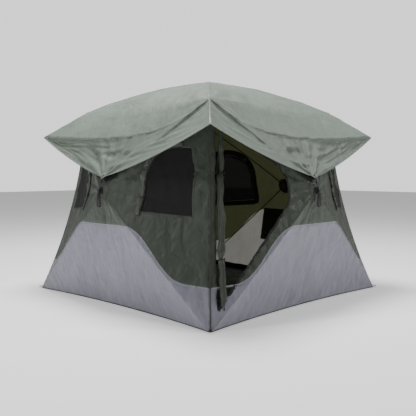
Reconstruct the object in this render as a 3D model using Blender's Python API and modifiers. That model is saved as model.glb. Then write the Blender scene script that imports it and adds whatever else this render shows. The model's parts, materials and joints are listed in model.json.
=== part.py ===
"""Pop-up hub tent with a rainfly: five snap-through hubs hold twenty poles, and the poles spread
four walls and a roof. Metres, +Z up. The origin is on the ground under the middle of the floor, and
the wall with the open door faces -Y."""

import math

import bmesh
import bpy
from mathutils import Matrix, Vector

OBJECT_NAME = "pop_up_hub_tent"

# Body: four leaning walls between a wide base and a smaller top
BASE_HALF = 1.190  # half side of the square that the bottom corners stand on
TOP_HALF = 0.861  # half side of the square through the top corners
TOP_Z = 1.745  # height of the top corners
CORNER_HOLLOW = 0.090  # how far a corner seam is pulled in halfway up
BASE_HOLLOW = 0.070  # how far a wall's bottom edge is pulled in at its middle
TOP_HOLLOW = 0.030  # the same for the edge under the roof
WALL_HUB_UP = 0.983  # wall hub's place, measured up the slope of its wall
WALL_HUB_OUT = 0.291  # how far the wall stands out at its hub
ROOF_HUB_UP = 0.285  # how far the ceiling stands up at its hub
WALL_BOW = 0.020  # outward bow of a wall pole over its length
ROOF_BOW = 0.050  # upward bow of a roof pole over its length
FABRIC = 0.0010
SEAM_GAP = 0.0030  # each panel stops this short of the seam line that it shares
CUT_GAP = 0.0006  # between a panel and the piece sewn into it
WALL_LIFT = 0.0020  # walls' lower hem above the ground

# Poles, hubs and corners
POLE_R = 0.0055
FERRULE = 1.2  # ferrule's radius over the pole's
FERRULE_LENGTH = 0.090
HUB_R = 0.058
HUB_HEIGHT = 0.024
HUB_CLEARANCE = 0.0031  # between the hub's rim and the cloth that slopes down over it
BOSS_R = 0.020
HUB_HOLE_R = 0.023  # hole in the fabric round the boss
CAP_R = 0.030
CAP_BOTTOM = 0.003
CAP_TOP = 0.011
PIVOT_R = 0.049  # pole pins from the hub's centre
PIN_R = 0.0025
SLOT_ROOT_R = 0.040
SLOT_WIDTH = 0.016
POLE_START = 0.0045  # pole's end face beyond its pin
ANCHOR_INSET = 0.060  # bottom corner's anchor, in from both walls
ANCHOR_Z = 0.050
TOP_ANCHOR_INSET = 0.045
TOP_ANCHOR_DROP = 0.035
TIP_CLEARANCE = 0.066  # pole's tip short of its anchor: the pole needs half of it as its hub snaps
FOOT_R = 0.034
FOOT_HEIGHT = 0.022
BOOT_R = 0.022

# Floor
RIM_HEIGHT = 0.060
FLOOR_INSET = 0.004
RIM_INSET = 0.030
FLOOR_GAP = 0.0005

# Splash panels: the tougher cloth along the foot of each wall
SPLASH_LOW = 0.310
SPLASH_CREST_DROP = 0.283  # its crest below the hub
SPLASH_SHOULDER = 0.270  # where the rise starts, in from the corner
SPLASH_CREST_HALF = 0.300

# Windows and doors, in the plane of their wall
WINDOW_EDGE = 0.130  # frame beside the corner seam
WINDOW_SILL_DROP = 0.153  # below the hub
WINDOW_HEAD_DROP = 0.383  # below the wall's top
WINDOW_INNER = 0.400  # from the wall's middle, on the two window walls
DOOR_WALL_WINDOW_INNER = 0.540
WINDOW_ROUND = 0.275
DOOR_EDGE = 0.045
DOOR_SILL = 0.150
DOOR_HEAD_DROP = 0.200
DOOR_APEX_IN = 0.131
DOOR_APEX_RISE = 0.064
DOOR_NOSE_R = 0.265
ROLL_R = 0.032
ROLL_STANDOFF = 0.058  # rolled door's middle from the corner seam
ROLL_END_GAP = 0.140
SLIDER_LENGTH = 0.034
SLIDER_WIDTH = 0.014
SLIDER_HEIGHT = 0.009
SLIDER_STANDOFF = 0.0085
SLIDER_START = 0.05  # its run on the way from the door's sill to the apex beside the hub
SLIDER_END = 0.72

# Rainfly
FLY_PEAK_RISE = 0.037  # above the ceiling at its hub
FLY_KINK_RISE = 0.017  # fly above the top corner
FLY_MID_SAG = 0.017
FLY_TIP_OUT = 0.299  # its lower corners beyond the top corners, and below them
FLY_TIP_DROP = 0.223
FLY_LOW_IN = 0.012  # its low points in from the wall hubs, and above them
FLY_LOW_RISE = 0.107
FLY_HEM_SAG = 0.030
FLY_SEAM_OUT = 0.079
FLY_SEAM_SAG = 0.162
TIE_R = 0.003
TIE_END_GAP = 0.006

# Pull loops
LOOP_WIDTH = 0.025
LOOP_LENGTH = 0.150
LOOP_DEPTH = 0.030
LOOP_WEBBING = 0.0025
LOOP_BAR_R = 0.003
LOOP_BAR_OUT = 0.030  # bar in front of the fabric's height
LUG_SPAN = 0.030
LUG_WIDTH = 0.005
LOOP_CLEARANCE = 0.0012

EDGE_STEPS = 6  # panel segments along each edge
RING_STEPS = 3  # panel segments from hub to edge
CUT_DEPTH = 0.6
TURN_STEPS = 20
CORNER_TURN_STEPS = 12

SIDES = {"front": 0, "right": 90, "back": 180, "left": 270}
CORNERS = {"lower_left": (-1, 0), "lower_right": (1, 0), "upper_right": (1, 1), "upper_left": (-1, 1)}

LEAN = math.atan2(BASE_HALF - TOP_HALF, TOP_Z)
WALL_SLANT = math.hypot(BASE_HALF - TOP_HALF, TOP_Z)
CORNER_SHIFT = CORNER_HOLLOW / math.sqrt(2)  # the corner hollow's share along X and along Y

# The hub's disc sits under the cloth where it falls away most steeply
STEEPEST = max(WALL_HUB_OUT / (WALL_SLANT - WALL_HUB_UP), ROOF_HUB_UP / (TOP_HALF - TOP_HOLLOW))
HUB_TOP = -HUB_CLEARANCE - STEEPEST * (HUB_R - HUB_HOLE_R)  # faces of the disc, from the cloth's height
HUB_BOTTOM = HUB_TOP - HUB_HEIGHT

FLY_TIP_HALF = TOP_HALF + FLY_TIP_OUT
FLY_TIP_Z = TOP_Z - FLY_TIP_DROP
FLY_PEAK_Z = TOP_Z + ROOF_HUB_UP + FLY_PEAK_RISE


# ---------------------------------------------------------------- scene, materials and placing


def clear_scene():
    for item in list(bpy.data.objects):
        bpy.data.objects.remove(item, do_unlink=True)


def new_collection(name):
    group = bpy.data.collections.new(name)
    bpy.context.scene.collection.children.link(group)
    return group


def new_material(name, color, roughness, metallic=0.0):
    material = bpy.data.materials.new(name)
    material.use_nodes = True
    shader = material.node_tree.nodes["Principled BSDF"]
    shader.inputs["Base Color"].default_value = (*color, 1.0)
    shader.inputs["Roughness"].default_value = roughness
    shader.inputs["Metallic"].default_value = metallic
    return material


def axes_matrix(origin, x_axis, z_axis):
    """A placing with its Z along z_axis and its X as near x_axis as that allows."""
    z = z_axis.normalized()
    y = z.cross(x_axis).normalized()
    x = y.cross(z)
    return Matrix.Translation(origin) @ Matrix((x, y, z)).transposed().to_4x4()


def wall_matrix(side):
    """A wall's own frame: X to the right from outside, Y up its slope, Z out of it."""
    foot = axes_matrix(
        Vector((0, -BASE_HALF, 0)), Vector((1, 0, 0)), Vector((0, -math.cos(LEAN), math.sin(LEAN)))
    )
    return Matrix.Rotation(math.radians(SIDES[side]), 4, "Z") @ foot


WALL_FRAME = wall_matrix("front")
TO_WALL = WALL_FRAME.inverted()


def add_object(name, data, group, material=None, matrix=None):
    item = bpy.data.objects.new(name, data)
    group.objects.link(item)
    if material:
        item.data.materials.clear()
        item.data.materials.append(material)
    if matrix:
        item.matrix_world = matrix
    bpy.context.view_layer.update()
    return item


def boolean(item, other, operation):
    change = item.modifiers.new(operation.lower(), "BOOLEAN")
    change.operation = operation
    change.object = other
    change.solver = "EXACT"
    change.use_self = operation == "UNION"


def solidify(item, thickness):
    wall = item.modifiers.new("thickness", "SOLIDIFY")
    wall.thickness = thickness
    wall.offset = -1
    wall.use_even_offset = True


# ---------------------------------------------------------------- mesh helpers


def mesh_from(name, work):
    mesh = bpy.data.meshes.new(name)
    work.to_mesh(mesh)
    work.free()
    return mesh


def loft_mesh(name, rings, middle=None):
    """A sheet between closed rings of points, which run anticlockwise seen from outside, inner ring
    first. middle closes the first ring with a fan. Its quads are split, so that both faces of the
    cloth that Solidify makes from it fold along the same lines."""
    work = bmesh.new()
    rows = [[work.verts.new(point) for point in ring] for ring in rings]
    count = len(rows[0])
    for inner, outer in zip(rows, rows[1:]):
        for i in range(count):
            j = (i + 1) % count
            work.faces.new((inner[i], outer[i], outer[j], inner[j]))
    if middle is not None:
        centre = work.verts.new(middle)
        for i in range(count):
            work.faces.new((centre, rows[0][i], rows[0][(i + 1) % count]))
    bmesh.ops.triangulate(work, faces=work.faces)
    return mesh_from(name, work)


def flat_curve(name, outlines, half_depth):
    """A flat outline, with any holes, extruded to both sides of its plane."""
    curve = bpy.data.curves.new(name, "CURVE")
    curve.dimensions = "2D"
    curve.fill_mode = "BOTH"
    curve.extrude = half_depth
    for outline in outlines:
        spline = curve.splines.new("POLY")
        spline.points.add(len(outline) - 1)
        spline.use_cyclic_u = True
        for point, (x, y) in zip(spline.points, outline):
            point.co = (x, y, 0, 1)
    return curve


def mesh_of(item, group):
    """The object's evaluated shape as a mesh object in its place, with its caps welded."""
    bpy.context.view_layer.update()
    evaluated = item.evaluated_get(bpy.context.evaluated_depsgraph_get())
    mesh = bpy.data.meshes.new_from_object(evaluated)
    work = bmesh.new()
    work.from_mesh(mesh)
    bmesh.ops.remove_doubles(work, verts=work.verts, dist=0.00005)
    bmesh.ops.recalc_face_normals(work, faces=work.faces)
    work.to_mesh(mesh)
    work.free()
    name, place = item.name, item.matrix_world.copy()
    bpy.data.objects.remove(item, do_unlink=True)
    return add_object(name, mesh, group, matrix=place)


def cutter(name, outlines, place, depth=CUT_DEPTH):
    shape = add_object(name, flat_curve(name, outlines, depth), CUTTERS, matrix=place)
    return hide_cutter(mesh_of(shape, CUTTERS))


def hide_cutter(item):
    item.hide_render = True
    item.display_type = "WIRE"
    return item


def add_box(work, size, centre):
    place = Matrix.Translation(centre) @ Matrix.Diagonal((*size, 1))
    bmesh.ops.create_cube(work, size=1, matrix=place)


def add_rod(work, radius, start, end, segments=12):
    way = end - start
    turn = way.to_track_quat("Z", "Y").to_matrix().to_4x4()
    place = Matrix.Translation((start + end) / 2) @ turn
    bmesh.ops.create_cone(
        work,
        cap_ends=True,
        segments=segments,
        radius1=radius,
        radius2=radius,
        depth=way.length,
        matrix=place,
    )


def turned(name, profile, group, material, matrix, steps=TURN_STEPS):
    """A profile of (radius, height) points, listed top to bottom, turned about Z."""
    mesh = bpy.data.meshes.new(name)
    edges = [(i, i + 1) for i in range(len(profile) - 1)]
    mesh.from_pydata([(radius, 0, height) for radius, height in profile], edges, [])
    item = add_object(name, mesh, group, material, matrix)
    screw = item.modifiers.new("turn", "SCREW")
    screw.steps = steps
    screw.render_steps = steps
    screw.use_merge_vertices = True
    screw.merge_threshold = 0.0001
    screw.use_smooth_shade = False
    return item


def smoothstep(value):
    value = min(max(value, 0.0), 1.0)
    return value * value * (3 - 2 * value)


def arch(value):
    """0 at both ends of a run from -1 to 1, and 1 in its middle."""
    return 1 - value * value


def inset_loop(points, distance):
    """A flat closed outline, anticlockwise, moved inwards by a distance."""
    moved = []
    count = len(points)
    for i, here in enumerate(points):
        before = (here - points[i - 1]).normalized()
        after = (points[(i + 1) % count] - here).normalized()
        across = Vector((-before.y, before.x)) + Vector((-after.y, after.x))
        across.normalize()
        side = max(across.dot(Vector((-after.y, after.x))), 0.3)
        moved.append(here + across * (distance / side))
    return moved


# ---------------------------------------------------------------- body outlines


def corner_seam(height):
    """Half width of the body along its corner seam, and height, from 0 at the base to 1 at the top."""
    half = BASE_HALF + (TOP_HALF - BASE_HALF) * height
    half -= CORNER_SHIFT * 4 * height * (1 - height)
    return Vector((half, -half, TOP_Z * height))


def wall_outline():
    """The wall's edge in its own frame, anticlockwise from the lower left corner."""
    steps = [i / EDGE_STEPS for i in range(EDGE_STEPS)]
    mirror = Vector((-1, 1, 1))
    bottom, right, top, left = [], [], [], []
    for step in steps:
        across = 2 * step - 1
        bottom.append(Vector((across * BASE_HALF, -BASE_HALF + BASE_HOLLOW * arch(across), 0)))
        right.append(corner_seam(step))
        top.append(Vector((-across * TOP_HALF, -TOP_HALF + TOP_HOLLOW * arch(across), TOP_Z)))
        left.append(corner_seam(1 - step) * mirror)
    return [TO_WALL @ (point + Vector((0, 0, WALL_LIFT))) for point in bottom + right + top + left]


def square_edge(half, hollow):
    """A square's edge from above, anticlockwise, each side pulled in at its middle by its hollow."""
    points = []
    for turn in range(4):
        spin = Matrix.Rotation(math.pi / 2 * turn, 4, "Z")
        for i in range(EDGE_STEPS):
            across = 2 * i / EDGE_STEPS - 1
            points.append(spin @ Vector((across * half, -half + hollow * arch(across), 0)))
    return points


def panel_rings(outline, hub, bow):
    """Rings from the hole round a hub to the panel's edge, on straight lines that bow outwards."""
    rings = []
    for step in range(RING_STEPS + 1):
        part = step / RING_STEPS
        ring = []
        for edge in outline:
            way = edge - hub
            flat = Vector((way.x, way.y, 0)).normalized()
            start = hub + flat * HUB_HOLE_R
            end = edge - way.normalized() * SEAM_GAP
            point = start.lerp(end, part)
            point.z += 4 * bow * part * (1 - part)
            ring.append(point)
        rings.append(ring)
    return rings


WALL_HUB = Vector((0, WALL_HUB_UP, WALL_HUB_OUT))
ROOF_HUB = Vector((0, 0, ROOF_HUB_UP))
FLY_LOW_OUT = -(WALL_FRAME @ WALL_HUB).y - FLY_LOW_IN
FLY_LOW_Z = (WALL_FRAME @ WALL_HUB).z + FLY_LOW_RISE
ROOF_FRAME = Matrix.Translation((0, 0, TOP_Z))


def seam_x(up):
    """The corner seam's distance from the wall's middle, at a height up the slope."""
    return corner_seam(up / WALL_SLANT).x


def splash_outline(lift):
    """The splash panel's area: a low band that rises to a crest under the hub."""
    start = BASE_HALF - SPLASH_SHOULDER
    crest = WALL_HUB_UP - SPLASH_CREST_DROP
    steps = 20
    curve = []
    for i in range(steps + 1):
        x = start * (1 - 2 * i / steps)
        rise = smoothstep((start - abs(x)) / (start - SPLASH_CREST_HALF))
        curve.append((x, SPLASH_LOW + (crest - SPLASH_LOW) * rise + lift))
    far = BASE_HALF * 1.5
    low = SPLASH_LOW + lift
    return [(-far, -0.5), (far, -0.5), (far, low), *curve, (-far, low)]


def window_outline(inner, inset):
    """Straight beside the corner seam and along the sill, round towards the hub."""
    sill = WALL_HUB_UP - WINDOW_SILL_DROP
    head = WALL_SLANT - WINDOW_HEAD_DROP
    corner = seam_x(head) - WINDOW_EDGE
    radius = min(WINDOW_ROUND, (corner - inner) * 0.75, (head - sill) * 0.75)
    points = [Vector((inner, sill)), Vector((seam_x(sill) - WINDOW_EDGE, sill)), Vector((corner, head))]
    for i in range(9):
        angle = math.pi / 2 * (1 + i / 8)
        reach = Vector((math.cos(angle), math.sin(angle))) * radius
        points.append(Vector((inner + radius, head - radius)) + reach)
    return [tuple(point) for point in inset_loop(points, inset)]


def door_corners():
    """The door's sill, head and the meeting point of its two long sides, beside the hub."""
    head_up = WALL_SLANT - DOOR_HEAD_DROP
    sill = Vector((DOOR_EDGE - seam_x(DOOR_SILL), DOOR_SILL))
    head = Vector((DOOR_EDGE - seam_x(head_up), head_up))
    apex = Vector((-DOOR_APEX_IN, WALL_HUB_UP + DOOR_APEX_RISE))
    return sill, head, apex


def door_outline(inset):
    sill, head, apex = door_corners()
    down = (sill - apex).normalized()
    up = (head - apex).normalized()
    half = math.acos(down.dot(up)) / 2
    middle = apex + (down + up).normalized() * (DOOR_NOSE_R / math.sin(half))
    start = math.atan2(down.x, -down.y)
    sweep = math.pi - 2 * half
    points = [sill]
    for i in range(11):
        angle = start + sweep * i / 10
        points.append(middle + Vector((math.cos(angle), math.sin(angle))) * DOOR_NOSE_R)
    points.append(head)
    steps = 6
    for i in range(1, steps):
        height = head.y + (sill.y - head.y) * i / steps
        points.append(Vector((DOOR_EDGE - seam_x(height), height)))
    return [tuple(point) for point in inset_loop(points, inset)]


# ---------------------------------------------------------------- walls, windows, doors, ceiling


def make_walls():
    shell = loft_mesh("wall_shell", panel_rings(wall_outline(), WALL_HUB, WALL_BOW))
    for side in SIDES:
        place = wall_matrix(side)
        windows = [1] if side in ("front", "back") else [-1, 1]
        inner = DOOR_WALL_WINDOW_INNER if side in ("front", "back") else WINDOW_INNER
        holes = []
        for hand in windows:
            flip = place @ Matrix.Diagonal((hand, 1, 1, 1))
            label = "right" if hand > 0 else "left"
            holes.append(cutter(f"{side}_{label}_window_cut", [mirrored(window_outline(inner, 0), hand)], place))
            pane = cutter(f"{side}_{label}_pane_cut", [mirrored(window_outline(inner, CUT_GAP), hand)], place)
            add_shell_piece(f"{side}_{label}_window_screen", shell, MESH_NET, place, keep=pane)
        if side in ("front", "back"):
            holes.append(cutter(f"{side}_door_cut", [door_outline(0)], place))
        low = cutter(f"{side}_splash_cut", [splash_outline(0)], place)
        lifted = cutter(f"{side}_wall_cut", [splash_outline(CUT_GAP)], place)
        add_shell_piece(f"{side}_wall", shell, WALL_CLOTH, place, remove=[lifted, *holes])
        add_shell_piece(f"{side}_splash_panel", shell, SPLASH_CLOTH, place, keep=low, remove=holes)
    place = wall_matrix("back")
    leaf = cutter("back_leaf_cut", [door_outline(CUT_GAP)], place)
    add_shell_piece("back_door_panel", shell, WALL_CLOTH, place, keep=leaf)


def mirrored(outline, hand):
    points = [(x * hand, y) for x, y in outline]
    return points if hand > 0 else points[::-1]


def add_shell_piece(name, shell, material, place, keep=None, remove=()):
    item = add_object(name, shell.copy(), PARTS, material, place)
    solidify(item, FABRIC)
    if keep:
        boolean(item, keep, "INTERSECT")
    for hole in remove:
        boolean(item, hole, "DIFFERENCE")
    return item


def make_ceiling():
    mesh = loft_mesh("roof_panel", panel_rings(square_edge(TOP_HALF, TOP_HOLLOW), ROOF_HUB, ROOF_BOW))
    item = add_object("roof_panel", mesh, PARTS, WALL_CLOTH, ROOF_FRAME)
    solidify(item, FABRIC)


def make_floor():
    edge = [point.xy for point in square_edge(BASE_HALF, BASE_HOLLOW)]
    low = [point.to_3d() for point in inset_loop(edge, FLOOR_INSET)]
    rim = [point.to_3d() + Vector((0, 0, RIM_HEIGHT)) for point in inset_loop(edge, RIM_INSET)]
    work = bmesh.new()
    rows = [[work.verts.new(point) for point in ring] for ring in (low, rim)]
    count = len(low)
    for i in range(count):
        j = (i + 1) % count
        work.faces.new((rows[0][i], rows[0][j], rows[1][j], rows[1][i]))
    work.faces.new(rows[0][::-1])
    item = add_object("floor", mesh_from("floor", work), PARTS, FLOOR_CLOTH)
    solidify(item, FABRIC)


def make_rolled_door():
    """The open front door, rolled up and tied beside its corner seam."""
    sill, head, _ = door_corners()
    low = sill.y + ROLL_END_GAP
    high = head.y - ROLL_END_GAP
    steps = 10
    curve = bpy.data.curves.new("front_door_roll", "CURVE")
    curve.dimensions = "3D"
    curve.bevel_depth = ROLL_R
    curve.bevel_resolution = 3
    curve.use_fill_caps = True
    spline = curve.splines.new("POLY")
    spline.points.add(steps)
    for i, point in enumerate(spline.points):
        part = i / steps
        up = low + (high - low) * part
        x = DOOR_EDGE + ROLL_STANDOFF - DOOR_EDGE / 2 - seam_x(up)
        point.co = (*on_side_facet(x, up), 1)
        point.radius = 0.72 + 0.28 * math.sin(math.pi * part)
    add_object("front_door_roll", curve, PARTS, WALL_CLOTH, wall_matrix("front"))


def on_side_facet(x, up):
    """The point on the wall's cloth between its hub and a corner seam."""
    reach = (abs(x) - seam_x(up)) / (0 - seam_x(up))
    out = WALL_HUB_OUT * reach
    return Vector((x, up, out + 4 * WALL_BOW * reach * (1 - reach)))


def make_slider():
    """The door zip's slider with its pull tab, at the sill end of the door's lower side."""
    sill, _, apex = door_corners()
    start = on_side_facet(*sill.lerp(apex, SLIDER_START))
    track = on_side_facet(*sill.lerp(apex, SLIDER_END)) - start
    out = Vector((0, 0, 1))
    place = wall_matrix("front") @ axes_matrix(start + out * SLIDER_STANDOFF, track, out)
    work = bmesh.new()
    add_box(work, (SLIDER_LENGTH, SLIDER_WIDTH, SLIDER_HEIGHT), Vector((0, 0, 0)))
    body = add_object("front_door_zip_slider", mesh_from("zip_slider", work), PARTS, METAL, place)
    soften = body.modifiers.new("soften", "BEVEL")
    soften.width = 0.0025
    soften.segments = 2
    soften.limit_method = "ANGLE"


# ---------------------------------------------------------------- frame: hubs, poles, corners


def bottom_anchor(hand):
    reach = BASE_HALF - ANCHOR_INSET
    return Vector((hand * reach, -reach, ANCHOR_Z))


def top_anchor(hand):
    reach = TOP_HALF - TOP_ANCHOR_INSET
    return Vector((hand * reach, -reach, TOP_Z - TOP_ANCHOR_DROP))


def make_hub(name, place, ways, with_lugs):
    """A hub's disc with a slot and a pin for each pole, and the boss and cap that hold the cloth."""
    profile = [
        (0, CAP_TOP),
        (CAP_R - 0.003, CAP_TOP),
        (CAP_R, CAP_TOP - 0.003),
        (CAP_R, CAP_BOTTOM),
        (BOSS_R, CAP_BOTTOM),
        (BOSS_R, HUB_TOP),
        (HUB_R - 0.002, HUB_TOP),
        (HUB_R, HUB_TOP - 0.002),
        (HUB_R, HUB_BOTTOM + 0.002),
        (HUB_R - 0.002, HUB_BOTTOM),
        (0, HUB_BOTTOM),
    ]
    hub = turned(name, profile, PARTS, HUB_PLASTIC, place)
    middle = (HUB_TOP + HUB_BOTTOM) / 2
    slots = bmesh.new()
    pins = bmesh.new()
    for way in ways:
        side = Vector((0, 0, 1)).cross(way)
        turn = Matrix((way, side, Vector((0, 0, 1)))).transposed().to_4x4()
        reach = HUB_R * 1.3 - SLOT_ROOT_R
        spot = way * (SLOT_ROOT_R + reach / 2) + Vector((0, 0, middle))
        size = Matrix.Diagonal((reach, SLOT_WIDTH, (HUB_TOP - HUB_BOTTOM) * 1.5, 1))
        bmesh.ops.create_cube(slots, size=1, matrix=Matrix.Translation(spot) @ turn @ size)
        pin = way * PIVOT_R + Vector((0, 0, middle))
        across = side * (SLOT_WIDTH / 2 + 0.003)
        add_rod(pins, PIN_R, pin - across, pin + across, segments=10)
    slot_cut = hide_cutter(add_object(f"{name}_slots", mesh_from("slots", slots), CUTTERS, matrix=place))
    pin_set = hide_cutter(add_object(f"{name}_pins", mesh_from("pins", pins), CUTTERS, matrix=place))
    boolean(hub, slot_cut, "DIFFERENCE")
    boolean(hub, pin_set, "UNION")
    if with_lugs:
        lugs = bmesh.new()
        for hand in (-1, 1):
            centre = Vector((hand * (LUG_SPAN + LUG_WIDTH) / 2, 0, (CAP_TOP + LOOP_BAR_OUT) / 2 + 0.001))
            add_box(lugs, (LUG_WIDTH, 0.012, LOOP_BAR_OUT - CAP_TOP + 0.010), centre)
        ends = Vector((LUG_SPAN / 2 + 0.003, 0, 0))
        bar = Vector((0, 0, LOOP_BAR_OUT))
        add_rod(lugs, LOOP_BAR_R, bar - ends, bar + ends, segments=10)
        lug_set = hide_cutter(add_object(f"{name}_lugs", mesh_from("lugs", lugs), CUTTERS, matrix=place))
        boolean(hub, lug_set, "UNION")
    return hub


def pole_layout(hub_place, anchor):
    """In the hub's frame: the pole's way out, its pin, and its straight run to the corner."""
    target = hub_place.inverted() @ anchor
    way = Vector((target.x, target.y, 0)).normalized()
    pin = way * PIVOT_R + Vector((0, 0, (HUB_TOP + HUB_BOTTOM) / 2))
    return way, pin, target - pin


def make_pole(name, hub_place, anchor, bow):
    way, pin, run = pole_layout(hub_place, anchor)
    length = run.length - TIP_CLEARANCE
    local = axes_matrix(pin, run, run.cross(Vector((0, 0, 1)).cross(run)))
    curve = bpy.data.curves.new(name, "CURVE")
    curve.dimensions = "3D"
    curve.bevel_depth = POLE_R
    curve.bevel_resolution = 2
    curve.use_fill_caps = True
    marks = [POLE_START, FERRULE_LENGTH, FERRULE_LENGTH + 0.004]
    rest = 6
    marks += [FERRULE_LENGTH + (length - FERRULE_LENGTH) * i / rest for i in range(1, rest + 1)]
    spline = curve.splines.new("POLY")
    spline.points.add(len(marks) - 1)
    for i, (point, mark) in enumerate(zip(spline.points, marks)):
        part = mark / run.length
        point.co = (mark, 0, 4 * bow * part * (1 - part), 1)
        point.radius = FERRULE if i < 2 else 1.0
    return add_object(name, curve, PARTS, FIBREGLASS, hub_place @ local)


def make_frame():
    for side in SIDES:
        frame = wall_matrix(side)
        hub_place = frame @ Matrix.Translation(WALL_HUB)
        spin = Matrix.Rotation(math.radians(SIDES[side]), 4, "Z")
        ways = []
        for corner, (hand, upper) in CORNERS.items():
            anchor = spin @ (top_anchor(hand) if upper else bottom_anchor(hand))
            ways.append(pole_layout(hub_place, anchor)[0])
            make_pole(f"{side}_{corner}_pole", hub_place, anchor, WALL_BOW)
        make_hub(f"{side}_hub", hub_place, ways, with_lugs=True)
        make_pull_loop(side, hub_place)
    roof_place = ROOF_FRAME @ Matrix.Translation(ROOF_HUB)
    ways = []
    for side in SIDES:
        spin = Matrix.Rotation(math.radians(SIDES[side]), 4, "Z")
        anchor = spin @ top_anchor(-1)
        ways.append(pole_layout(roof_place, anchor)[0])
        make_pole(f"roof_{corner_name(side)}_pole", roof_place, anchor, ROOF_BOW)
        make_corner(f"{corner_name(side)}_top_boot", ball_profile(BOOT_R), anchor)
        foot_spot = spin @ bottom_anchor(-1)
        foot_spot.z = FABRIC + FLOOR_GAP
        make_corner(f"{corner_name(side)}_foot", foot_profile(), foot_spot)
    make_hub("roof_hub", roof_place, ways, with_lugs=False)


def make_corner(name, profile, spot):
    turned(name, profile, PARTS, HUB_PLASTIC, Matrix.Translation(spot), CORNER_TURN_STEPS)


def corner_name(side):
    """The corner at the left of a wall, seen from outside."""
    names = {"front": "front_left", "right": "front_right", "back": "back_right", "left": "back_left"}
    return names[side]


def ball_profile(radius):
    steps = 6
    angles = [math.pi / 2 - math.pi * i / steps for i in range(1, steps)]
    arc = [(radius * math.cos(angle), radius * math.sin(angle)) for angle in angles]
    return [(0, radius), *arc, (0, -radius)]


def foot_profile():
    """A low cup with a flat underside."""
    return [
        (0, FOOT_HEIGHT * 0.45),
        (FOOT_R * 0.45, FOOT_HEIGHT * 0.45),
        (FOOT_R * 0.55, FOOT_HEIGHT),
        (FOOT_R * 0.75, FOOT_HEIGHT),
        (FOOT_R, FOOT_HEIGHT * 0.3),
        (FOOT_R, 0),
        (0, 0),
    ]


def loop_outline(grow):
    """The webbing loop from the side: round at the bar and at its foot. X is out, Y is down."""
    small = LOOP_BAR_R + LOOP_CLEARANCE + grow
    big = LOOP_DEPTH / 2 - LOOP_WEBBING + grow
    run = LOOP_LENGTH - LOOP_DEPTH / 2
    lean = math.asin((big - small) / run)
    points = []
    for i in range(7):
        angle = math.pi / 2 - lean + (math.pi + 2 * lean) * i / 6
        points.append((-run + big * math.cos(angle), big * math.sin(angle)))
    for i in range(7):
        angle = -math.pi / 2 - lean + (math.pi - 2 * lean) * i / 6 + 2 * lean
        points.append((small * math.cos(angle), small * math.sin(angle)))
    return points


def make_pull_loop(side, hub_place):
    bar = hub_place @ Vector((0, 0, LOOP_BAR_OUT))
    along = hub_place.to_3x3() @ Vector((1, 0, 0))
    place = axes_matrix(bar, Vector((0, 0, 1)), along)
    outlines = [loop_outline(LOOP_WEBBING), loop_outline(0)]
    curve = flat_curve(f"{side}_pull_loop", outlines, LOOP_WIDTH / 2)
    add_object(f"{side}_pull_loop", curve, PARTS, WEBBING, place)


# ---------------------------------------------------------------- rainfly


def fly_ring(make_point):
    """A ring of the fly, one side's points repeated round the tent."""
    steps = EDGE_STEPS + 2
    points = []
    for turn in range(4):
        spin = Matrix.Rotation(math.pi / 2 * turn, 4, "Z")
        points += [spin @ make_point(2 * i / steps - 1) for i in range(steps)]
    return points


def fly_edge(across):
    """Where the fly turns down over the walls' top."""
    z = TOP_Z + FLY_KINK_RISE - FLY_MID_SAG * arch(across)
    return Vector((across * TOP_HALF, -TOP_HALF, z))


def fly_seam(across):
    half = (TOP_HALF + FLY_TIP_HALF) / 2
    z = (TOP_Z + FLY_KINK_RISE + FLY_TIP_Z) / 2 - FLY_SEAM_SAG * arch(across)
    return Vector((across * half, -half - FLY_SEAM_OUT * arch(across), z))


def fly_hem(across):
    """Straight from each tip to the low point over the wall's hub, a little slack between."""
    far = abs(across)
    out = FLY_LOW_OUT + (FLY_TIP_HALF - FLY_LOW_OUT) * far
    z = FLY_LOW_Z + (FLY_TIP_Z - FLY_LOW_Z) * far - FLY_HEM_SAG * 4 * far * (1 - far)
    return Vector((across * FLY_TIP_HALF, -out, z))


def make_fly():
    peak = Vector((0, 0, FLY_PEAK_Z))
    rings = []
    for part in (0.2, 0.45, 0.72):
        lift = Vector((0, 0, 4 * ROOF_BOW * part * (1 - part)))
        rings.append([peak.lerp(point, part) + lift for point in fly_ring(fly_edge)])
    rings += [fly_ring(fly_edge), fly_ring(fly_seam), fly_ring(fly_hem)]
    mesh = loft_mesh("rainfly", rings, middle=peak)
    fly = add_object("rainfly", mesh, PARTS, FLY_CLOTH)
    solidify(fly, FABRIC)
    ties = bmesh.new()
    cap_top = WALL_FRAME @ (WALL_HUB + Vector((0, CAP_R, CAP_TOP / 2)))
    for turn in range(4):
        spin = Matrix.Rotation(math.pi / 2 * turn, 4, "Z")
        top = fly_hem(0).lerp(fly_seam(0), 0.03)
        end = Vector((0, cap_top.y, cap_top.z + TIE_END_GAP))
        add_rod(ties, TIE_R, spin @ top, spin @ end, segments=8)
    tie_set = hide_cutter(add_object("fly_ties", mesh_from("fly_ties", ties), CUTTERS))
    boolean(fly, tie_set, "UNION")


clear_scene()
PARTS = new_collection(OBJECT_NAME)
CUTTERS = new_collection(f"{OBJECT_NAME}_cutters")

WALL_CLOTH = new_material("wall_cloth", (0.052, 0.062, 0.047), 0.75)
SPLASH_CLOTH = new_material("splash_cloth", (0.27, 0.28, 0.35), 0.7)
FLY_CLOTH = new_material("fly_cloth", (0.20, 0.24, 0.20), 0.55)
MESH_NET = new_material("mesh_net", (0.01, 0.01, 0.01), 0.9)
FLOOR_CLOTH = new_material("floor_cloth", (0.01, 0.01, 0.01), 0.6)
FIBREGLASS = new_material("fibreglass", (0.012, 0.012, 0.012), 0.35)
HUB_PLASTIC = new_material("hub_plastic", (0.015, 0.015, 0.016), 0.5)
WEBBING = new_material("webbing", (0.012, 0.012, 0.012), 0.8)
METAL = new_material("zip_metal", (0.05, 0.05, 0.05), 0.4, 0.6)

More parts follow.
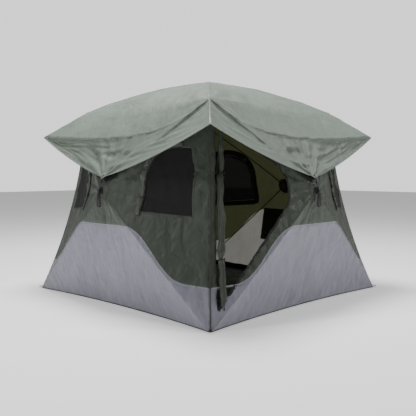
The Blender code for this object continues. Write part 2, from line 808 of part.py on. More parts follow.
make_walls()
make_ceiling()
make_floor()
make_rolled_door()
make_slider()
make_frame()
make_fly()
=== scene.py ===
"""Looks of a pop-up hub tent: its cloth, nets, zips, cords and finishes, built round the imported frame."""

import json
import math

import bmesh
import bpy
import numpy as np
from bpy.props import FloatProperty, FloatVectorProperty, PointerProperty
from bpy.types import Operator, Panel, PropertyGroup
from mathutils import Matrix, Vector
from mathutils.geometry import delaunay_2d_cdt
from mathutils.kdtree import KDTree


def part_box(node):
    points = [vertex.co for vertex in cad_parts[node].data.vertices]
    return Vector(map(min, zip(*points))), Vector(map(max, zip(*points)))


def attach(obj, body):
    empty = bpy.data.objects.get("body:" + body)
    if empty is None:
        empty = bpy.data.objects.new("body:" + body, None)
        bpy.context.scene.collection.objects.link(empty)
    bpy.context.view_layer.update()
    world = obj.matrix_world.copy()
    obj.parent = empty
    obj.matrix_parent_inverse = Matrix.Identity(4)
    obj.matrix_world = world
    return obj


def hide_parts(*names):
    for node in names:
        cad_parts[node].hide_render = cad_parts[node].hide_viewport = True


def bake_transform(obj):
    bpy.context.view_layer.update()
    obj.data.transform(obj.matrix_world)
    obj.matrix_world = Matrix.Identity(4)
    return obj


bl_info = {
    "name": "Hub tent",
    "version": (1, 0, 0),
    "blender": (4, 5, 0),
    "location": "3D View > Sidebar > Hub tent",
    "description": "Builds the cloth, trim and finishes of a pop-up hub tent round its frame",
    "category": "Object",
}

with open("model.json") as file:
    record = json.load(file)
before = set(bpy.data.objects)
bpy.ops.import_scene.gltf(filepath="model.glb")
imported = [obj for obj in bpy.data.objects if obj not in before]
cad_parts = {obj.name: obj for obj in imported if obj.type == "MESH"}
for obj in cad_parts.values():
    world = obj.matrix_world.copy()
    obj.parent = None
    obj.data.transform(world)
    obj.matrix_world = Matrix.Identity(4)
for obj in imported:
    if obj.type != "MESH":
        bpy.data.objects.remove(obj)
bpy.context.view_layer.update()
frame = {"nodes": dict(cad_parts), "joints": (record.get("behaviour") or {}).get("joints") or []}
JOINTS = {joint["name"]: joint for joint in frame["joints"]}

# Body, from the frame: the front wall's hub, its way out, and the corners
SEAM_INSET = 0.0022
LOOP_BAR_OUT = 0.030
OUT = -Vector(JOINTS["front_hub_snap"]["axis"])
LOOP_BAR = Vector(JOINTS["front_pull_loop_swing"]["pos_m"])
HUB_POINT = LOOP_BAR - OUT * LOOP_BAR_OUT
BASE_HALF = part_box("front_splash_panel")[1].x + SEAM_INSET
TOP_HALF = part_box("roof_panel")[1].x + SEAM_INSET
TOP_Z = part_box("front_wall")[1].z - 0.002
CEILING_HUB_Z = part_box("roof_hub")[1].z - 0.011
FLY_PEAK_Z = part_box("rainfly")[1].z

# Cloth shape
CORNER_HOLLOW = 0.090
BASE_HOLLOW = 0.070
TOP_HOLLOW = 0.030
WALL_BOW = 0.020
ROOF_BOW = 0.050
ROOF_SLACK = 0.045
HEM_LIFT = 0.002
HUB_HOLE_R = 0.023
ROW_PITCH = 0.866  # from one row of the cloth's points to the next, in steps
SLACK = 0.012  # between two poles
TOP_SLACK = 0.050  # the same between the two upper poles

# Splash panels, windows and doors, in the plane of their wall
SPLASH_LOW = 0.310
SPLASH_HIGH = 0.700
SPLASH_SHOULDER = 0.270
SPLASH_CREST_HALF = 0.300
WINDOW_EDGE = 0.130
WINDOW_SILL_DROP = 0.153
WINDOW_HEAD_DROP = 0.383
WINDOW_INNER = {"front": 0.540, "right": 0.400, "back": 0.540, "left": 0.400}
WINDOW_ROUND = 0.275
BORDER_NEAR = 0.004  # the dark border inside a window, from the window's outline
BORDER_FAR = 0.062
POCKET_HALF = 0.30
POCKET_LOW = 0.37
POCKET_RISE = 0.345
DOOR_EDGE = 0.045
DOOR_SILL = 0.150
DOOR_HEAD_DROP = 0.200
DOOR_APEX_IN = 0.131
DOOR_APEX_RISE = 0.064
DOOR_NOSE_R = 0.265
DOOR_NOSE_POINTS = 15
DOOR_FREE_POINTS = DOOR_NOSE_POINTS + 2  # the outline's free part: its sill, nose and head

# Rainfly
KINK_RISE = 0.017
FLY_TIP_HALF = 1.160
FLY_TIP_Z = 1.522
FLY_LOW_OUT = 1.282
FLY_LOW_Z = 1.127
FLY_HEM_SAG = 0.030
FLY_SEAM_SAG = 0.187
FLY_MID_DROP = 0.020
FLY_CLEARANCE = 0.011  # over the ceiling, at the least
FLY_STILL_FROM = 0.96  # share of the way from the peak to the edge where the fly's weights fall to nothing
SKIRT_FOLLOW = 0.90  # the skirt's weight at its low point

SIDES = {"front": 0, "right": 90, "back": 180, "left": 270}
DOOR_WALLS = ("front", "back")
WINDOW_HANDS = {"front": (1,), "right": (-1, 1), "back": (1,), "left": (-1, 1)}
KINK_HAND = {"front": -1, "right": 1, "back": -1, "left": 1}  # the end of a side where its fly seam starts


# ---------------------------------------------------------------- settings


class ClothSettings(PropertyGroup):
    """Sizes and colours of the tent's cloth."""

    grain: FloatProperty(
        name="Mesh size", description="Spacing of the cloth's points", default=0.018, unit="LENGTH"
    )
    thickness: FloatProperty(
        name="Thickness", description="Cloth thickness", default=0.0010, unit="LENGTH"
    )
    crease: FloatProperty(
        name="Creases", description="Depth of the tension creases", default=0.0105, unit="LENGTH"
    )
    wall_color: FloatVectorProperty(
        name="Wall", description="Wall cloth", default=(0.047, 0.059, 0.043), subtype="COLOR"
    )
    # Painted light: the walls' inner face is lighter and more olive than the outer cloth, as if lit by the
    # daylight that comes through it.
    wall_inside_color: FloatVectorProperty(
        name="Wall inside", description="Coated inner face of the walls",
        default=(0.080, 0.090, 0.042), subtype="COLOR",
    )
    splash_color: FloatVectorProperty(
        name="Splash panel", description="Splash panel cloth",
        default=(0.236, 0.236, 0.290), subtype="COLOR",
    )
    # Painted light: the splash panels' inner face is lighter and warmer than the outer cloth, as if lit by the
    # daylight that comes through it.
    splash_inside_color: FloatVectorProperty(
        name="Splash inside", description="Inner face of the splash panels",
        default=(0.36, 0.355, 0.33), subtype="COLOR",
    )
    fly_color: FloatVectorProperty(
        name="Rainfly", description="Rainfly cloth", default=(0.168, 0.205, 0.170), subtype="COLOR"
    )
    net_color: FloatVectorProperty(
        name="Net", description="Window net", default=(0.006, 0.006, 0.006), subtype="COLOR"
    )


class TrimSettings(PropertyGroup):
    """Sizes of the tapes, zips and stitches."""

    binding: FloatProperty(
        name="Binding", description="Width of the bound edges", default=0.014, unit="LENGTH"
    )
    zip_width: FloatProperty(
        name="Zip tape", description="Width of a zip's tape", default=0.030, unit="LENGTH"
    )
    stitch: FloatProperty(name="Stitch", description="Length of a stitch", default=0.0042, unit="LENGTH")
    stitch_gap: FloatProperty(
        name="Stitch pitch", description="From one stitch to the next", default=0.0064, unit="LENGTH"
    )
    tooth_pitch: FloatProperty(
        name="Zip pitch", description="From one zip tooth to the next", default=0.0040, unit="LENGTH"
    )
    cord: FloatProperty(
        name="Cord", description="Thickness of the tie cords", default=0.0042, unit="LENGTH"
    )


class StageSettings(PropertyGroup):
    """Camera and light."""

    azimuth: FloatProperty(
        name="Azimuth", description="Camera's place round the tent",
        default=math.radians(-45.57), subtype="ANGLE",
    )
    height: FloatProperty(
        name="Height", description="Camera above the ground", default=1.165, unit="LENGTH"
    )
    tilt: FloatProperty(
        name="Tilt", description="Camera's view below the horizon", default=0.0602, subtype="ANGLE"
    )
    lens: FloatProperty(name="Lens", description="Focal length in millimetres", default=50.29)
    key: FloatProperty(name="Key light", description="Power of the key light", default=150.0)
    fill: FloatProperty(name="Fill", description="Strength of the surrounding light", default=0.22)


class TentSettings(PropertyGroup):
    """All of the tent's settings."""

    cloth: PointerProperty(type=ClothSettings)
    trim: PointerProperty(type=TrimSettings)
    stage: PointerProperty(type=StageSettings)


# ---------------------------------------------------------------- small helpers


def smoothstep(value, low=0.0, high=1.0):
    value = np.clip((value - low) / (high - low), 0.0, 1.0)
    return value * value * (3 - 2 * value)


def arch(value):
    return 1 - value * value


def ripple(points, scale, seed, waves=7):
    """Smooth irregular waves from -1 to 1 over 2D points, about one scale long, the same each run."""
    draw = np.random.default_rng(seed)
    total = np.zeros(len(points))
    bent = points + 0.35 * scale * np.sin(points[:, ::-1] * (2.1 / scale) + seed)
    for _ in range(waves):
        angle = draw.uniform(0, math.pi)
        rate = 2 * math.pi / (scale * draw.uniform(0.6, 1.6))
        way = np.array([math.cos(angle), math.sin(angle)])
        total += np.sin(bent @ way * rate + draw.uniform(0, 2 * math.pi))
    return total / math.sqrt(waves)


def folds(points, scale, seed):
    """Waves whose crests are sharp and whose troughs are flat, as in crisp cloth."""
    wave = ripple(points, scale, seed)
    return 1.4 * (0.7 - np.sqrt(np.abs(wave) + 0.02))


def inside(points, outline):
    """Which 2D points lie inside a closed outline."""
    x, y = points[:, 0], points[:, 1]
    found = np.zeros(len(points), bool)
    for (ax, ay), (bx, by) in zip(outline, np.roll(outline, -1, axis=0)):
        crosses = (ay > y) != (by > y)
        if abs(by - ay) > 1e-12:
            found ^= crosses & (x < (bx - ax) * (y - ay) / (by - ay) + ax)
    return found


def spaced(points, step, closed=False):
    """A line's points, put at even steps that keep its ends."""
    points = np.asarray(points, float)
    if closed:
        points = np.vstack([points, points[:1]])
    along = lengths_along(points)
    count = max(int(round(along[-1] / step)), 2)
    marks = np.linspace(0, along[-1], count + 1)
    found = np.column_stack([np.interp(marks, along, points[:, k]) for k in range(points.shape[1])])
    return found[:-1] if closed else found


def with_corners(points, step):
    """A closed outline with every one of its own corners kept and each side divided."""
    rows = []
    for here, there in zip(points, np.roll(points, -1, axis=0)):
        count = max(int(np.linalg.norm(there - here) / step), 1)
        rows.append(here + (there - here) * np.linspace(0, 1, count, endpoint=False)[:, None])
    return np.vstack(rows)


def normalized(rows):
    return rows / np.maximum(np.linalg.norm(rows, axis=-1, keepdims=True), 1e-12)


def link(name, mesh, materials):
    item = bpy.data.objects.new(name, mesh)
    bpy.context.scene.collection.objects.link(item)
    for material in materials:
        item.data.materials.append(material)
    return item


def mesh_piece(name, points, faces, materials, uv=None, smooth=True):
    mesh = bpy.data.meshes.new(name)
    mesh.from_pydata([tuple(p) for p in points], [], [tuple(f) for f in faces])
    if uv is not None:
        layer = mesh.uv_layers.new(name="cloth")
        corner = np.zeros(len(mesh.loops), int)
        mesh.loops.foreach_get("vertex_index", corner)
        layer.data.foreach_set("uv", np.asarray(uv, float)[corner].ravel())
    mesh.validate()
    if smooth:
        mesh.shade_smooth()
    return link(name, mesh, materials)


def grid_faces(rows, count, closed=False, turned=False, looped=False):
    """Faces of points kept row after row. closed joins a row's ends, looped joins the last row to
    the first, and turned shows the faces' other side."""
    faces = []
    for k in range(rows if looped else rows - 1):
        here, there = k * count, (k + 1) % rows * count
        for i in range(count if closed else count - 1):
            j = (i + 1) % count
            if turned:
                faces.append((here + i, here + j, there + j, there + i))
            else:
                faces.append((here + i, there + i, there + j, here + j))
    return faces


def end_faces(rows, count):
    """The faces that close the first and the last of a tube's rings."""
    return [tuple(range(count))[::-1], tuple(range((rows - 1) * count, rows * count))]


def turns(count):
    return np.linspace(0, 2 * math.pi, count, endpoint=False)


def circle(count):
    return np.column_stack([np.cos(turns(count)), np.sin(turns(count))])


def lengths_along(points):
    steps = np.linalg.norm(np.diff(points, axis=0), axis=1)
    return np.concatenate([[0], np.cumsum(steps)])


def thicken(item, thickness, inner_slot=0, offset=-1.0):
    wall = item.modifiers.new("thickness", "SOLIDIFY")
    wall.thickness = thickness
    wall.offset = offset
    wall.use_even_offset = False
    wall.material_offset = inner_slot
    wall.material_offset_rim = inner_slot


def join(name, items):
    """Several finished meshes as one piece, with their materials kept."""
    first = items[0]
    with bpy.context.temp_override(active_object=first, selected_editable_objects=items):
        bpy.ops.object.join()
    first.name = name
    return first


def points_of(item):
    rows = np.zeros(len(item.data.vertices) * 3)
    item.data.vertices.foreach_get("co", rows)
    return rows.reshape(-1, 3)


def spin(points, side):
    turn = np.array(Matrix.Rotation(math.radians(SIDES[side]), 3, "Z"))
    return np.asarray(points, float) @ turn.T


# ---------------------------------------------------------------- the walls' shape

WALL_FRAME = Matrix.Translation((0, -BASE_HALF, 0)) @ Matrix(
    (Vector((1, 0, 0)), OUT.cross(Vector((1, 0, 0))), OUT)
).transposed().to_4x4()
TO_WALL = np.array(WALL_FRAME.inverted())
FROM_WALL = np.array(WALL_FRAME)
WALL_HUB = WALL_FRAME.inverted() @ HUB_POINT
HUB_UP = WALL_HUB.y
WALL_SLANT = math.hypot(BASE_HALF - TOP_HALF, TOP_Z)
CORNER_SHIFT = CORNER_HOLLOW / math.sqrt(2)


def corner_half(height):
    """Half width of the body at a share of its height."""
    return BASE_HALF + (TOP_HALF - BASE_HALF) * height - CORNER_SHIFT * 4 * height * (1 - height)


def wall_edge(steps):
    """The front wall's edge, anticlockwise from its lower left corner, in the wall's frame."""
    part = np.arange(steps) / steps
    across = 2 * part - 1
    flat = np.zeros(steps)
    bottom = np.column_stack([across * BASE_HALF, -BASE_HALF + BASE_HOLLOW * arch(across), flat])
    right = np.column_stack([corner_half(part), -corner_half(part), TOP_Z * part])
    top = np.column_stack([-across * TOP_HALF, -TOP_HALF + TOP_HOLLOW * arch(across), flat + TOP_Z])
    down = 1 - part
    left = np.column_stack([-corner_half(down), -corner_half(down), TOP_Z * down])
    rows = np.vstack([bottom, right, top, left]) + (0, 0, HEM_LIFT)
    return rows @ TO_WALL[:3, :3].T + TO_WALL[:3, 3]


class WallForm:
    """The cloth of a wall over its plane: straight lines from the hub to the wall's edge, bowed,
    with slack between the poles and creases that run out of the hub and the corners."""

    def __init__(self, steps=48):
        self.edge = wall_edge(steps)
        self.hub = np.array(WALL_HUB)
        rel = self.edge[:, :2] - self.hub[:2]
        angle = np.arctan2(rel[:, 1], rel[:, 0])
        order = np.argsort(angle)
        self.angle = angle[order]
        self.radius = np.linalg.norm(rel, axis=1)[order]
        self.rise = self.edge[order, 2]
        corners = self.edge[[0, steps, 2 * steps, 3 * steps]]
        self.corners = corners[:, :2]
        self.corner_angle = np.sort(np.arctan2(*(corners[:, :2] - self.hub[:2]).T[::-1]))
        self.top_angle = math.pi / 2 - math.atan2(*(corners[2, :2] - self.hub[:2])[::-1])

    def polar(self, xy):
        rel = xy - self.hub[:2]
        angle = np.arctan2(rel[:, 1], rel[:, 0])
        far = np.interp(angle, self.angle, self.radius, period=2 * math.pi)
        distance = np.linalg.norm(rel, axis=1)
        return angle, distance, np.clip((distance - HUB_HOLE_R) / (far - HUB_HOLE_R), 0, 1)

    def reach(self, xy):
        return self.polar(xy)[2]

    def between_poles(self, angle):
        """0 on a pole's line, 1 midway between two."""
        marks = self.corner_angle
        marks = np.concatenate([[marks[-1] - 2 * math.pi], marks, [marks[0] + 2 * math.pi]])
        place = np.searchsorted(marks, angle) - 1
        share = (angle - marks[place]) / (marks[place + 1] - marks[place])
        return np.sin(math.pi * share)

    def creases(self, xy, seed):
        angle, distance, reach = self.polar(xy)
        near = np.exp(-distance / 0.30) * smoothstep(distance, 0.02, 0.10)
        fan = np.sin(13 * angle + seed) + 0.8 * np.sin(21 * angle + 2.1 * seed)
        fan += 0.5 * np.sin(34 * angle - seed)
        total = 0.55 * near * fan
        for k, corner in enumerate(self.corners):
            rel = xy - corner
            far = np.linalg.norm(rel, axis=1)
            turn = np.arctan2(rel[:, 1], rel[:, 0])
            near = 0.50 * np.exp(-far / 0.28) * smoothstep(far, 0.01, 0.08)
            total += near * np.sin((17 + 3 * k) * turn + k + seed)
        middle = self.between_poles(angle)
        total += 0.45 * middle * ripple(xy * (1.0, 0.55), 0.20, seed)
        low = smoothstep(0.75 - xy[:, 1], 0.0, 0.55)
        total += 0.58 * low * folds(xy * (1.0, 0.40), 0.105, seed + 5)
        total += 0.32 * folds(xy * (1.0, 0.60), 0.075, seed + 11)
        return total * smoothstep(1 - reach, 0.0, 0.05)

    def height(self, xy, crease, seed):
        angle, _, reach = self.polar(xy)
        rise = np.interp(angle, self.angle, self.rise, period=2 * math.pi)
        body = self.hub[2] + (rise - self.hub[2]) * reach
        belly = 4 * reach * (1 - reach)
        upper = np.abs(angle - math.pi / 2) < self.top_angle
        body += belly * (WALL_BOW - np.where(upper, TOP_SLACK, SLACK) * self.between_poles(angle))
        return body + crease * self.creases(xy, seed)

    def place(self, xy, side, crease, lift=0.0):
        """World points of wall points (x, up the slope), lifted off the cloth."""
        seed = 3 + SIDES[side] // 90
        out = self.height(xy, crease, seed) + lift
        local = np.column_stack([xy, out])
        return spin(local @ FROM_WALL[:3, :3].T + FROM_WALL[:3, 3], side)

    def outward(self, xy, side, crease):
        step = 0.004
        here = self.place(xy, side, crease)
        right = self.place(xy + (step, 0), side, crease) - here
        up = self.place(xy + (0, step), side, crease) - here
        return normalized(np.cross(right, up))


WALL = WallForm()


def seam_x(up):
    return corner_half(np.clip(up / WALL_SLANT, 0, 1))


def splash_line(steps=72):
    """The splash panel's top edge from left to right."""
    far = BASE_HALF
    start = BASE_HALF - SPLASH_SHOULDER
    x = np.linspace(-far, far, steps)
    rise = smoothstep((start - np.abs(x)) / (start - SPLASH_CREST_HALF))
    return np.column_stack([x, SPLASH_LOW + (SPLASH_HIGH - SPLASH_LOW) * rise])


def window_outline(side, hand):
    sill = HUB_UP - WINDOW_SILL_DROP
    head = WALL_SLANT - WINDOW_HEAD_DROP
    inner = WINDOW_INNER[side]
    corner = seam_x(head) - WINDOW_EDGE
    radius = min(WINDOW_ROUND, (corner - inner) * 0.75, (head - sill) * 0.75)
    angle = np.linspace(math.pi / 2, math.pi, 13)
    arc = np.column_stack([inner + radius * (1 + np.cos(angle)), head - radius * (1 - np.sin(angle))])
    points = np.vstack([[(inner, sill), (seam_x(sill) - WINDOW_EDGE, sill), (corner, head)], arc])
    return points * (hand, 1) if hand > 0 else (points * (hand, 1))[::-1]


def door_corners():
    head_up = WALL_SLANT - DOOR_HEAD_DROP
    sill = np.array([DOOR_EDGE - seam_x(DOOR_SILL), DOOR_SILL])
    head = np.array([DOOR_EDGE - seam_x(head_up), head_up])
    apex = np.array([-DOOR_APEX_IN, HUB_UP + DOOR_APEX_RISE])
    return sill, head, apex


def door_outline():
    sill, head, apex = door_corners()
    down = normalized(sill - apex)
    up = normalized(head - apex)
    half = math.acos(float(down @ up)) / 2
    middle = apex + normalized(down + up) * (DOOR_NOSE_R / math.sin(half))
    start = math.atan2(down[0], -down[1])
    angle = start + (math.pi - 2 * half) * np.linspace(0, 1, DOOR_NOSE_POINTS)
    nose = middle + np.column_stack([np.cos(angle), np.sin(angle)]) * DOOR_NOSE_R
    side_up = np.linspace(head[1], sill[1], 16)[1:-1]
    seam = np.column_stack([DOOR_EDGE - seam_x(side_up), side_up])
    return np.vstack([[sill], nose, [head], seam])


# ---------------------------------------------------------------- baking pieces in place


def bend(item):
    """Bakes item's placement into its mesh."""
    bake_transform(item)


def near_tree(points):
    tree = KDTree(len(points))
    for index, point in enumerate(points):
        tree.insert(point, index)
    tree.balance()
    return tree


def follow(item, source):
    """Finds the cloth's nearest point to each of item's points, and bakes item's placement into its mesh."""
    tree = near_tree(source)
    near = np.array([tree.find(point)[1] for point in points_of(item)])
    bend(item)


def hub_point(side):
    return Vector(spin([tuple(HUB_POINT)], side)[0])


def follow_wall(item, side):
    """Works out item's points in the wall's frame, and bakes item's placement into its mesh."""
    local = spin_back(points_of(item), side) @ TO_WALL[:3, :3].T + TO_WALL[:3, 3]
    bend(item)


def spin_back(points, side):
    turn = np.array(Matrix.Rotation(-math.radians(SIDES[side]), 3, "Z"))
    return np.asarray(points, float) @ turn.T


# ---------------------------------------------------------------- materials


def group(name, inputs, outputs):
    """A shader node group, built once; returns it with its input and output nodes if it is new."""
    found = bpy.data.node_groups.get(name)
    if found:
        return found, None, None
    tree = bpy.data.node_groups.new(name, "ShaderNodeTree")
    for label, kind, value in inputs:
        socket = tree.interface.new_socket(name=label, in_out="INPUT", socket_type=kind)
        socket.default_value = value
    for label, kind in outputs:
        tree.interface.new_socket(name=label, in_out="OUTPUT", socket_type=kind)
    return tree, tree.nodes.new("NodeGroupInput"), tree.nodes.new("NodeGroupOutput")


def feed(tree, socket, value):
    """Sets a socket, or links it when the value is another node's output."""
    if isinstance(value, bpy.types.NodeSocket):
        tree.links.new(value, socket)
    elif value is not None:
        socket.default_value = value


def node(tree, kind, **values):
    made = tree.nodes.new(kind)
    for key, value in values.items():
        if key in made.inputs:
            feed(tree, made.inputs[key], value)
        else:
            setattr(made, key, value)
    return made


def math_node(tree, operation, *values):
    made = tree.nodes.new("ShaderNodeMath")
    made.operation = operation
    for socket, value in zip(made.inputs, values):
        feed(tree, socket, value)
    return made.outputs[0]


def noise(tree, place, scale, detail, roughness, distortion=0.0):
    values = {"Scale": scale, "Detail": detail, "Roughness": roughness, "Distortion": distortion}
    return node(tree, "ShaderNodeTexNoise", Vector=place, **values).outputs["Fac"]


def ranged(tree, value, low, high, first, last):
    """A value's place between low and high, as a level between first and last."""
    values = {"From Min": low, "From Max": high, "To Min": first, "To Max": last}
    return node(tree, "ShaderNodeMapRange", Value=value, **values).outputs[0]


def tinted(tree, color, level):
    return node(tree, "ShaderNodeVectorMath", operation="SCALE", Vector=color, Scale=level).outputs[0]


DUST_COLOR = (0.30, 0.28, 0.24, 1)
FINISH = [("Color", "NodeSocketColor"), ("Roughness", "NodeSocketFloat"), ("Normal", "NodeSocketVector")]


def cloth_group():
    """Woven cloth: thread grid on the cloth's own map, crinkles, painted shade along the creases, uneven dye, and
    dust near the ground.
    """
    tree, given, result = group(
        "woven_cloth",
        [
            ("Color", "NodeSocketColor", (0.5, 0.5, 0.5, 1)),
            ("Threads", "NodeSocketFloat", 900.0),
            ("Crinkle", "NodeSocketFloat", 0.5),
            ("Roughness", "NodeSocketFloat", 0.6),
            ("Dust", "NodeSocketFloat", 0.3),
        ],
        FINISH,
    )
    if given is None:
        return tree
    place = node(tree, "ShaderNodeTexCoord").outputs["Object"]
    cloth_map = node(tree, "ShaderNodeUVMap", uv_map="cloth").outputs[0]
    uv = node(tree, "ShaderNodeSeparateXYZ", Vector=cloth_map)
    waves = []
    for axis in (0, 1):
        turn = math_node(tree, "MULTIPLY", uv.outputs[axis], given.outputs["Threads"])
        waves.append(math_node(tree, "SINE", math_node(tree, "MULTIPLY", turn, math.pi)))
    rib = math_node(tree, "ABSOLUTE", math_node(tree, "MULTIPLY", *waves))
    crinkle = noise(tree, place, 7.0, 3.0, 0.45, 0.9)
    fine = noise(tree, place, 55.0, 2.0, 0.5)
    drawn = node(tree, "ShaderNodeMapping", Vector=place, Scale=(1.0, 1.0, 0.30))
    drawn.inputs["Rotation"].default_value = (0.25, 0.18, 0.0)
    line = noise(tree, drawn.outputs["Vector"], 11.0, 2.0, 0.4, 0.5)
    crisp = math_node(tree, "ABSOLUTE", math_node(tree, "SUBTRACT", line, 0.5))
    crisp = math_node(tree, "POWER", crisp, 0.6)
    soft = math_node(tree, "MULTIPLY_ADD", crisp, -0.30, crinkle)
    soft = math_node(tree, "MULTIPLY_ADD", line, 0.9, soft)
    soft = math_node(tree, "MULTIPLY", soft, given.outputs["Crinkle"])
    soft = math_node(tree, "MULTIPLY_ADD", fine, 0.025, soft)
    broad = node(tree, "ShaderNodeBump", Strength=1.0, Distance=0.030, Height=soft).outputs["Normal"]
    thread = node(tree, "ShaderNodeBump", Strength=0.35, Distance=0.0004, Height=rib, Normal=broad)
    feed(tree, result.inputs["Normal"], thread.outputs["Normal"])
    dye = noise(tree, place, 2.3, 4.0, 0.6)
    level = ranged(tree, dye, 0.3, 0.7, 0.90, 1.08)
    level = math_node(tree, "MULTIPLY", level, math_node(tree, "MULTIPLY_ADD", rib, 0.10, 0.95))
    # Painted shade: thin darker lines where the crease noise crosses its middle, along the bumped creases.
    level = math_node(tree, "MULTIPLY", level, math_node(tree, "MULTIPLY_ADD", crisp, 0.25, 0.93))
    high = node(tree, "ShaderNodeSeparateXYZ", Vector=place).outputs["Z"]
    dusty = math_node(tree, "MULTIPLY", ranged(tree, high, 0.0, 0.35, 1.0, 0.0), given.outputs["Dust"])
    dusty = math_node(tree, "MULTIPLY", dusty, crinkle)
    mix = node(tree, "ShaderNodeMix", data_type="RGBA")
    for index, value in ((0, dusty), (6, tinted(tree, given.outputs["Color"], level)), (7, DUST_COLOR)):
        feed(tree, mix.inputs[index], value)
    feed(tree, result.inputs["Color"], mix.outputs[2])
    rough = math_node(tree, "MULTIPLY_ADD", dye, 0.16, given.outputs["Roughness"])
    feed(tree, result.inputs["Roughness"], math_node(tree, "SUBTRACT", rough, 0.08))
    return tree


def grain_group():
    """Moulded or drawn stuff: fine grain with worn, lighter spots."""
    tree, given, result = group(
        "fine_grain",
        [
            ("Color", "NodeSocketColor", (0.5, 0.5, 0.5, 1)),
            ("Scale", "NodeSocketFloat", 400.0),
            ("Depth", "NodeSocketFloat", 0.3),
            ("Roughness", "NodeSocketFloat", 0.5),
            ("Wear", "NodeSocketFloat", 0.3),
        ],
        FINISH,
    )
    if given is None:
        return tree
    place = node(tree, "ShaderNodeTexCoord").outputs["Object"]
    grain = noise(tree, place, given.outputs["Scale"], 3.0, 0.6)
    bump = node(tree, "ShaderNodeBump", Distance=0.0006, Strength=given.outputs["Depth"], Height=grain)
    feed(tree, result.inputs["Normal"], bump.outputs["Normal"])
    worn = noise(tree, place, 35.0, 5.0, 0.7)
    spots = math_node(tree, "MAXIMUM", math_node(tree, "SUBTRACT", worn, 0.45), 0.0)
    level = math_node(tree, "MULTIPLY", spots, given.outputs["Wear"])
    level = math_node(tree, "MULTIPLY_ADD", level, 6.0, 1.0)
    feed(tree, result.inputs["Color"], tinted(tree, given.outputs["Color"], level))
    rough = math_node(tree, "MULTIPLY_ADD", worn, 0.2, given.outputs["Roughness"])
    feed(tree, result.inputs["Roughness"], math_node(tree, "SUBTRACT", rough, 0.1))
    return tree


def finish_material(name, tree, values, metallic=0.0, sheen=0.0, alpha=1.0, painted_glow=0.0):
    """A Principled material whose colour, roughness and normal come from one of the groups. Its emission is
    painted light: a share of its colour that glows, standing in for the daylight that comes through the cloth."""
    found = bpy.data.materials.get(name)
    if found:
        return found
    material = bpy.data.materials.new(name)
    material.use_nodes = True
    nodes = material.node_tree
    shader = nodes.nodes["Principled BSDF"]
    look = {"Metallic": metallic, "Sheen Weight": sheen, "Sheen Roughness": 0.4, "Alpha": alpha}
    for label, value in {**look, "Emission Strength": painted_glow}.items():
        shader.inputs[label].default_value = value
    used = nodes.nodes.new("ShaderNodeGroup")
    used.node_tree = tree
    for label, value in values.items():
        used.inputs[label].default_value = (*value, 1) if label == "Color" else value
    for label, socket in (("Color", "Base Color"), ("Roughness", "Roughness"), ("Normal", "Normal")):
        nodes.links.new(used.outputs[label], shader.inputs[socket])
    if painted_glow:
        nodes.links.new(used.outputs["Color"], shader.inputs["Emission Color"])
    return material


CLOTHS = {  # colour or its setting, roughness, and what differs from the usual cloth
    "woven_wall": ("wall_color", 0.50, {"crinkle": 0.45, "dust": 0.08}),
    # Painted light: a lighter inner face that glows, standing in for the daylight through the wall cloth.
    "wall_inside": ("wall_inside_color", 0.55, {"painted_glow": 0.32}),
    "cover_cloth": ((0.075, 0.085, 0.066), 0.60, {}),
    "woven_splash": ("splash_color", 0.44, {"threads": 620.0, "dust": 0.15}),
    # Painted light: a lighter inner face that glows, standing in for the daylight through the splash cloth.
    "splash_inside": ("splash_inside_color", 0.60, {"threads": 620.0, "painted_glow": 0.40}),
    "woven_fly": ("fly_color", 0.46, {"crinkle": 0.35}),
    # Painted shade: the skirts are the fly's own cloth, darkened to 0.84 of its colour as if shaded from the
    # light above.
    "woven_skirt": ("fly_color", 0.46, {"crinkle": 0.35, "painted_shade": 0.84}),
    "fly_inside": ((0.12, 0.13, 0.12), 0.50, {}),
    "net_cloth": ("net_color", 0.85, {"threads": 500.0, "crinkle": 0.2, "sheen": 0.0, "alpha": 0.93}),
    "woven_floor": ((0.010, 0.010, 0.011), 0.50, {"threads": 450.0, "crinkle": 0.8, "dust": 0.06}),
    "binding_tape": ((0.052, 0.061, 0.047), 0.75, {"threads": 1100.0, "crinkle": 0.15, "dust": 0.1}),
    "light_binding": ((0.30, 0.305, 0.33), 0.70, {"threads": 1100.0, "crinkle": 0.15, "dust": 0.1}),
    "fly_binding": ((0.150, 0.182, 0.152), 0.60, {"threads": 1100.0, "crinkle": 0.15}),
    "black_tape": ((0.012, 0.012, 0.012), 0.75, {"threads": 700.0, "crinkle": 0.1, "dust": 0.05}),
}
HARD_STUFF = {  # colour, roughness, the grain's scale and depth, wear, and how metallic it is
    "sewing_thread": ((0.075, 0.085, 0.068), 0.60, 900.0, 0.40, 0.10, 0.0),
    "light_thread": ((0.33, 0.35, 0.34), 0.60, 900.0, 0.40, 0.10, 0.0),
    "braided_cord": ((0.012, 0.012, 0.012), 0.70, 700.0, 0.80, 0.20, 0.0),
    "moulded_nylon": ((0.014, 0.014, 0.015), 0.42, 420.0, 0.30, 0.25, 0.0),
    "fibreglass_rod": ((0.012, 0.012, 0.013), 0.28, 600.0, 0.15, 0.20, 0.0),
    "enamelled_zinc": ((0.05, 0.05, 0.052), 0.35, 500.0, 0.20, 0.50, 0.7),
}


def cloth_material(name, color, rough, threads=900.0, crinkle=0.5, dust=0.0, painted_shade=1.0, **finish):
    if isinstance(color, str):
        color = getattr(settings().cloth, color)
    # Scaling the colour down here paints shade onto a copy of a cloth, as on the skirts.
    color = tuple(painted_shade * level for level in color)
    values = {"Color": color, "Threads": threads, "Crinkle": crinkle, "Roughness": rough, "Dust": dust}
    return finish_material(name, cloth_group(), values, **{"sheen": 0.06, **finish})


def hard_material(name, color, rough, scale, depth, wear, metallic):
    values = {"Color": color, "Scale": scale, "Depth": depth, "Roughness": rough, "Wear": wear}
    return finish_material(name, grain_group(), values, metallic=metallic)


